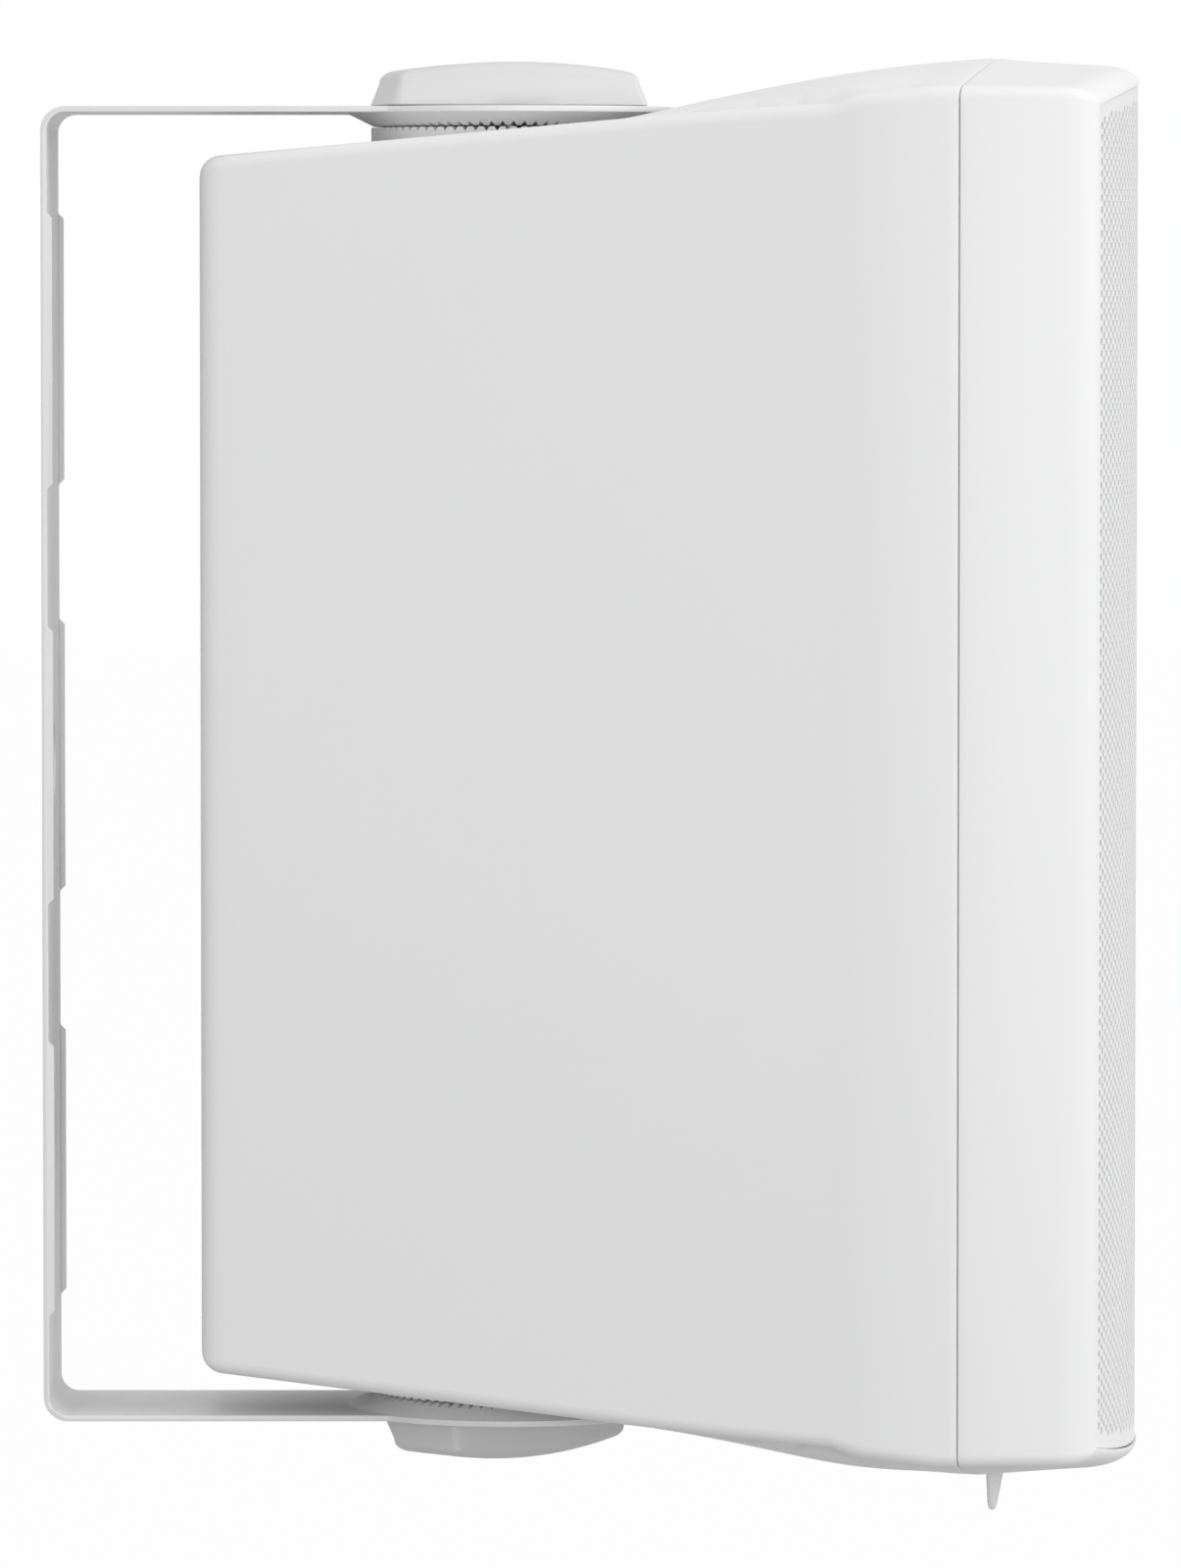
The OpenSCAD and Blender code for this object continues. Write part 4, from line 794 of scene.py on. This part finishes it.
copper_wire.apply(copper_wire.tint(turns * 0.4 + varnish * 0.6, (0.42, 0.15, 0.05), (0.80, 0.40, 0.20)),
                  0.25 + varnish * 0.2, turns, 0.0002, 0.6)
copper_wire.on(solids["woofer_voice_coil"])
ferrite = Finish("sintered_ferrite")
grit = ferrite.noise(900.0, 4.0)
blotch = ferrite.noise(25.0, 2.0)
ferrite.apply(ferrite.tint(grit * 0.5 + blotch * 0.5, (0.020, 0.020, 0.022), (0.085, 0.083, 0.085)),
              0.55 + blotch * 0.25, grit, 0.0002, 0.4)
ferrite.on(solids["woofer_magnet"])


# Tweeter and ports. The tweeter's horn plate and the two port tubes are black moulded plastic; a closed
# steel motor sits behind the horn.
black_moulding = Finish("black_matte_moulding", IOR=1.5)
sink = black_moulding.noise(20.0, 3.0)
etch = black_moulding.noise(1200.0, 2.0)
black_moulding.apply(black_moulding.tint(sink, (0.020, 0.020, 0.021), (0.034, 0.034, 0.035)),
                     0.42 + sink * 0.12 + etch * 0.08, etch, 0.00005, 0.4)
for node in ("tweeter_horn", "port_left", "port_right"):
    black_moulding.on(solids[node])
for node in ("tweeter_motor", "tweeter_screws"):
    zinc.on(solids[node])


# Terminal cup. A black moulding let into the rear face, with two brass binding posts under red and black
# caps, and the turned knob of the power tap switch above them.
for node in ("terminal_cup", "tap_switch", "tap_knob", "post_cap_black"):
    black_moulding.on(solids[node])
red_moulding = Finish("red_gloss_moulding", IOR=1.5, Coat_Roughness=0.1)
flow = red_moulding.noise(120.0, 3.0)
red_moulding.apply(red_moulding.tint(flow, (0.42, 0.015, 0.010), (0.56, 0.030, 0.020)), 0.22 + flow * 0.15,
                   flow, 0.00005, 0.2)
red_moulding.on(solids["post_cap_red"])
for node in ("post_red", "post_black"):
    turned_brass.on(solids[node])
for node in ("post_washer_red", "post_washer_black", "terminal_screws"):
    zinc.on(solids[node])


# Crossover and line transformer. A green board on standoffs behind the cup carries an air cored coil, two
# film capacitors and a ceramic resistor. The laminated transformer is screwed to the rear wall above it.
solder_mask = Finish("green_solder_mask", IOR=1.5)
tracks = solder_mask.node("ShaderNodeTexVoronoi", {"feature": "DISTANCE_TO_EDGE"},
                          {"Vector": solder_mask.place, "Scale": 110.0})
tracks = (tracks * 6.0).at_most_one()
solder_mask.apply(solder_mask.tint(tracks, (0.030, 0.16, 0.060), (0.014, 0.085, 0.034)), 0.3 + tracks * 0.1,
                  tracks, 0.00005, 0.3)
solder_mask.on(solids["crossover_board"])
film_wrap = Finish("yellow_film_wrap", IOR=1.5)
layers = film_wrap.noise(60.0, 3.0, stretch=(1.0, 10.0, 10.0))
film_wrap.apply(film_wrap.tint(layers, (0.60, 0.42, 0.05), (0.80, 0.62, 0.12)), 0.25 + layers * 0.2,
                layers, 0.00008, 0.3)
for node in ("capacitor_large", "capacitor_small"):
    film_wrap.on(solids[node])
ceramic = Finish("white_ceramic_cement")
chalk = ceramic.noise(500.0, 4.0)
ceramic.apply(ceramic.tint(chalk, (0.60, 0.58, 0.52), (0.76, 0.74, 0.68)), 0.6 + chalk * 0.3,
              chalk, 0.0001, 0.4)
ceramic.on(solids["resistor"])
laminations = Finish("laminated_core_steel", Metallic=1.0)
_, y, _ = laminations.axes()
lamination = 2 * math.pi / 0.0009
sheets = (y * lamination).wave() * 0.5 + 0.5
rust_bloom = laminations.noise(70.0, 3.0)
laminations.apply(laminations.tint(sheets * 0.5 + rust_bloom * 0.5, (0.20, 0.20, 0.21), (0.42, 0.41, 0.40)),
                  0.35 + rust_bloom * 0.25, sheets, 0.0001, 0.5)
laminations.on(solids["transformer_core"])
for node in ("transformer_coil", "inductor"):
    copper_wire.on(solids[node])
for node in ("board_screws", "transformer_screws"):
    zinc.on(solids[node])


# Wadding. A pad of loose polyester fibre in the upper rear of the cabinet, pushed in by hand, so its faces
# are soft and uneven.
low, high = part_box("wadding")
middle, half = (low + high) / 2, (high - low) / 2
pad = bmesh.new()
bmesh.ops.create_cube(pad, size=2.0)
bmesh.ops.subdivide_edges(pad, edges=pad.edges, cuts=13, use_grid_fill=True)
slack = np.random.default_rng(4)
pad_back, pad_front, clearance = -71.5, 30.0, 4.2
for vert in pad.verts:
    x, y, z = vert.co
    widening = (half_width(pad_front) - half_width(pad_back)) * (1.0 - y) / 2
    taper = half_width(pad_back) - clearance + widening
    swell = 0.95 + 0.05 * math.sin(7 * x + 3 * z) * math.cos(6 * y - 2 * z)
    swell -= 0.02 * slack.random()
    round_off = 1.0 - 0.07 * (abs(x * y) ** 4 + abs(y * z) ** 4 + abs(x * z) ** 4)
    vert.co = middle + Vector((x * taper * 0.001, y * half.y, z * half.z)) * (swell * round_off)
pad_mesh = bpy.data.meshes.new("wadding_fibre")
pad.to_mesh(pad_mesh)
pad.free()
wadding = bpy.data.objects.new("wadding_fibre", pad_mesh)
bpy.context.scene.collection.objects.link(wadding)
shade(wadding, 80.0)
fibre = Finish("loose_polyester_fibre", Sheen_Weight=0.4)
strands = fibre.noise(700.0, 5.0, stretch=(1.0, 0.25, 1.0))
tufts = fibre.noise(60.0, 4.0)
fibre.apply(
    fibre.tint(strands * 0.5 + tufts * 0.5, (0.55, 0.55, 0.53), (0.82, 0.82, 0.80)),
    0.85 + tufts * 0.1, strands * 0.6 + tufts, 0.0008, 0.7)
fibre.on(wadding, "cabinet", ["wadding"])


# Studio. A pale floor and an even white surround, a soft lamp right behind the camera, a larger one ahead of
# the speaker, and a long lens almost level with it, square to its flank.
floor_half, floor_level = 9.0, -0.32
floor_signs = ((-1, -1), (1, -1), (1, 1), (-1, 1))
floor_corners = [(x * floor_half, y * floor_half, floor_level) for x, y in floor_signs]
floor_mesh = bpy.data.meshes.new("studio_floor")
floor_mesh.from_pydata(floor_corners, [], [(0, 1, 2, 3)])
floor = bpy.data.objects.new("studio_floor", floor_mesh)
bpy.context.scene.collection.objects.link(floor)
paper = Finish("pale_paper_floor")
pulp = paper.noise(30.0, 3.0)
paper.apply(paper.tint(pulp, (0.32, 0.32, 0.32), (0.35, 0.35, 0.35)), 0.85 + pulp * 0.1)
lit = paper.node("ShaderNodeEmission", {}, {"Color": (1.0, 1.0, 1.0, 1.0), "Strength": 1.0})
seen = [paper.node("ShaderNodeLightPath", {}, {}, output=ray)
        for ray in ("Is Camera Ray", "Is Glossy Ray", "Is Transmission Ray")]
paper_white = (seen[0] + seen[1] + seen[2]).at_most_one() * 0.98
unlit = Level(paper, paper.shader.outputs[0])
mixed = paper.node("ShaderNodeMixShader", {}, {0: paper_white, 1: unlit, 2: lit})
paper.links.new(mixed.socket, paper.nodes["Material Output"].inputs["Surface"])
floor_mesh.materials.append(paper.material)

world = bpy.data.worlds.new("white_surround")
bpy.context.scene.world = world
world.use_nodes = True
sky = world.node_tree
for node in list(sky.nodes):
    sky.nodes.remove(node)
out = sky.nodes.new("ShaderNodeOutputWorld")
dome = sky.nodes.new("ShaderNodeBackground")
dome.inputs["Color"].default_value = (1.0, 1.0, 1.0, 1.0)
dome.inputs["Strength"].default_value = 0.84
backdrop = sky.nodes.new("ShaderNodeBackground")
backdrop.inputs["Color"].default_value = (1.0, 1.0, 1.0, 1.0)
backdrop.inputs["Strength"].default_value = 1.0
path = sky.nodes.new("ShaderNodeLightPath")
either = sky.nodes.new("ShaderNodeMixShader")
sky.links.new(path.outputs["Is Camera Ray"], either.inputs[0])
sky.links.new(dome.outputs[0], either.inputs[1])
sky.links.new(backdrop.outputs[0], either.inputs[2])
sky.links.new(either.outputs[0], out.inputs["Surface"])


def softbox(name, place, aim, size, power):
    lamp = bpy.data.lights.new(name, "AREA")
    lamp.shape, lamp.size, lamp.size_y, lamp.energy = "RECTANGLE", size[0], size[1], power
    stand = bpy.data.objects.new(name, lamp)
    stand.location = place
    stand.rotation_euler = (Vector(aim) - Vector(place)).to_track_quat("-Z", "Y").to_euler()
    bpy.context.scene.collection.objects.link(stand)


softbox("camera_softbox", (-3.2, -0.35, 0.0), (0, -0.13, 0), (0.9, 0.9), 29.0)
softbox("front_softbox", (-0.7, -2.6, 1.2), (0, -0.15, 0), (1.6, 1.6), 27.0)

lens = bpy.data.cameras.new("photo_camera")
lens.lens, lens.sensor_width, lens.sensor_fit = 234.4, 36.0, "AUTO"
camera = bpy.data.objects.new("photo_camera", lens)
camera.location = (-2.519, -0.134, 0.125)
aim = Vector((0.0, -0.134, -0.0059))
camera.rotation_euler = (aim - camera.location).to_track_quat("-Z", "Y").to_euler()
bpy.context.scene.collection.objects.link(camera)
bpy.context.scene.camera = camera
bpy.context.scene.view_settings.view_transform = "Standard"

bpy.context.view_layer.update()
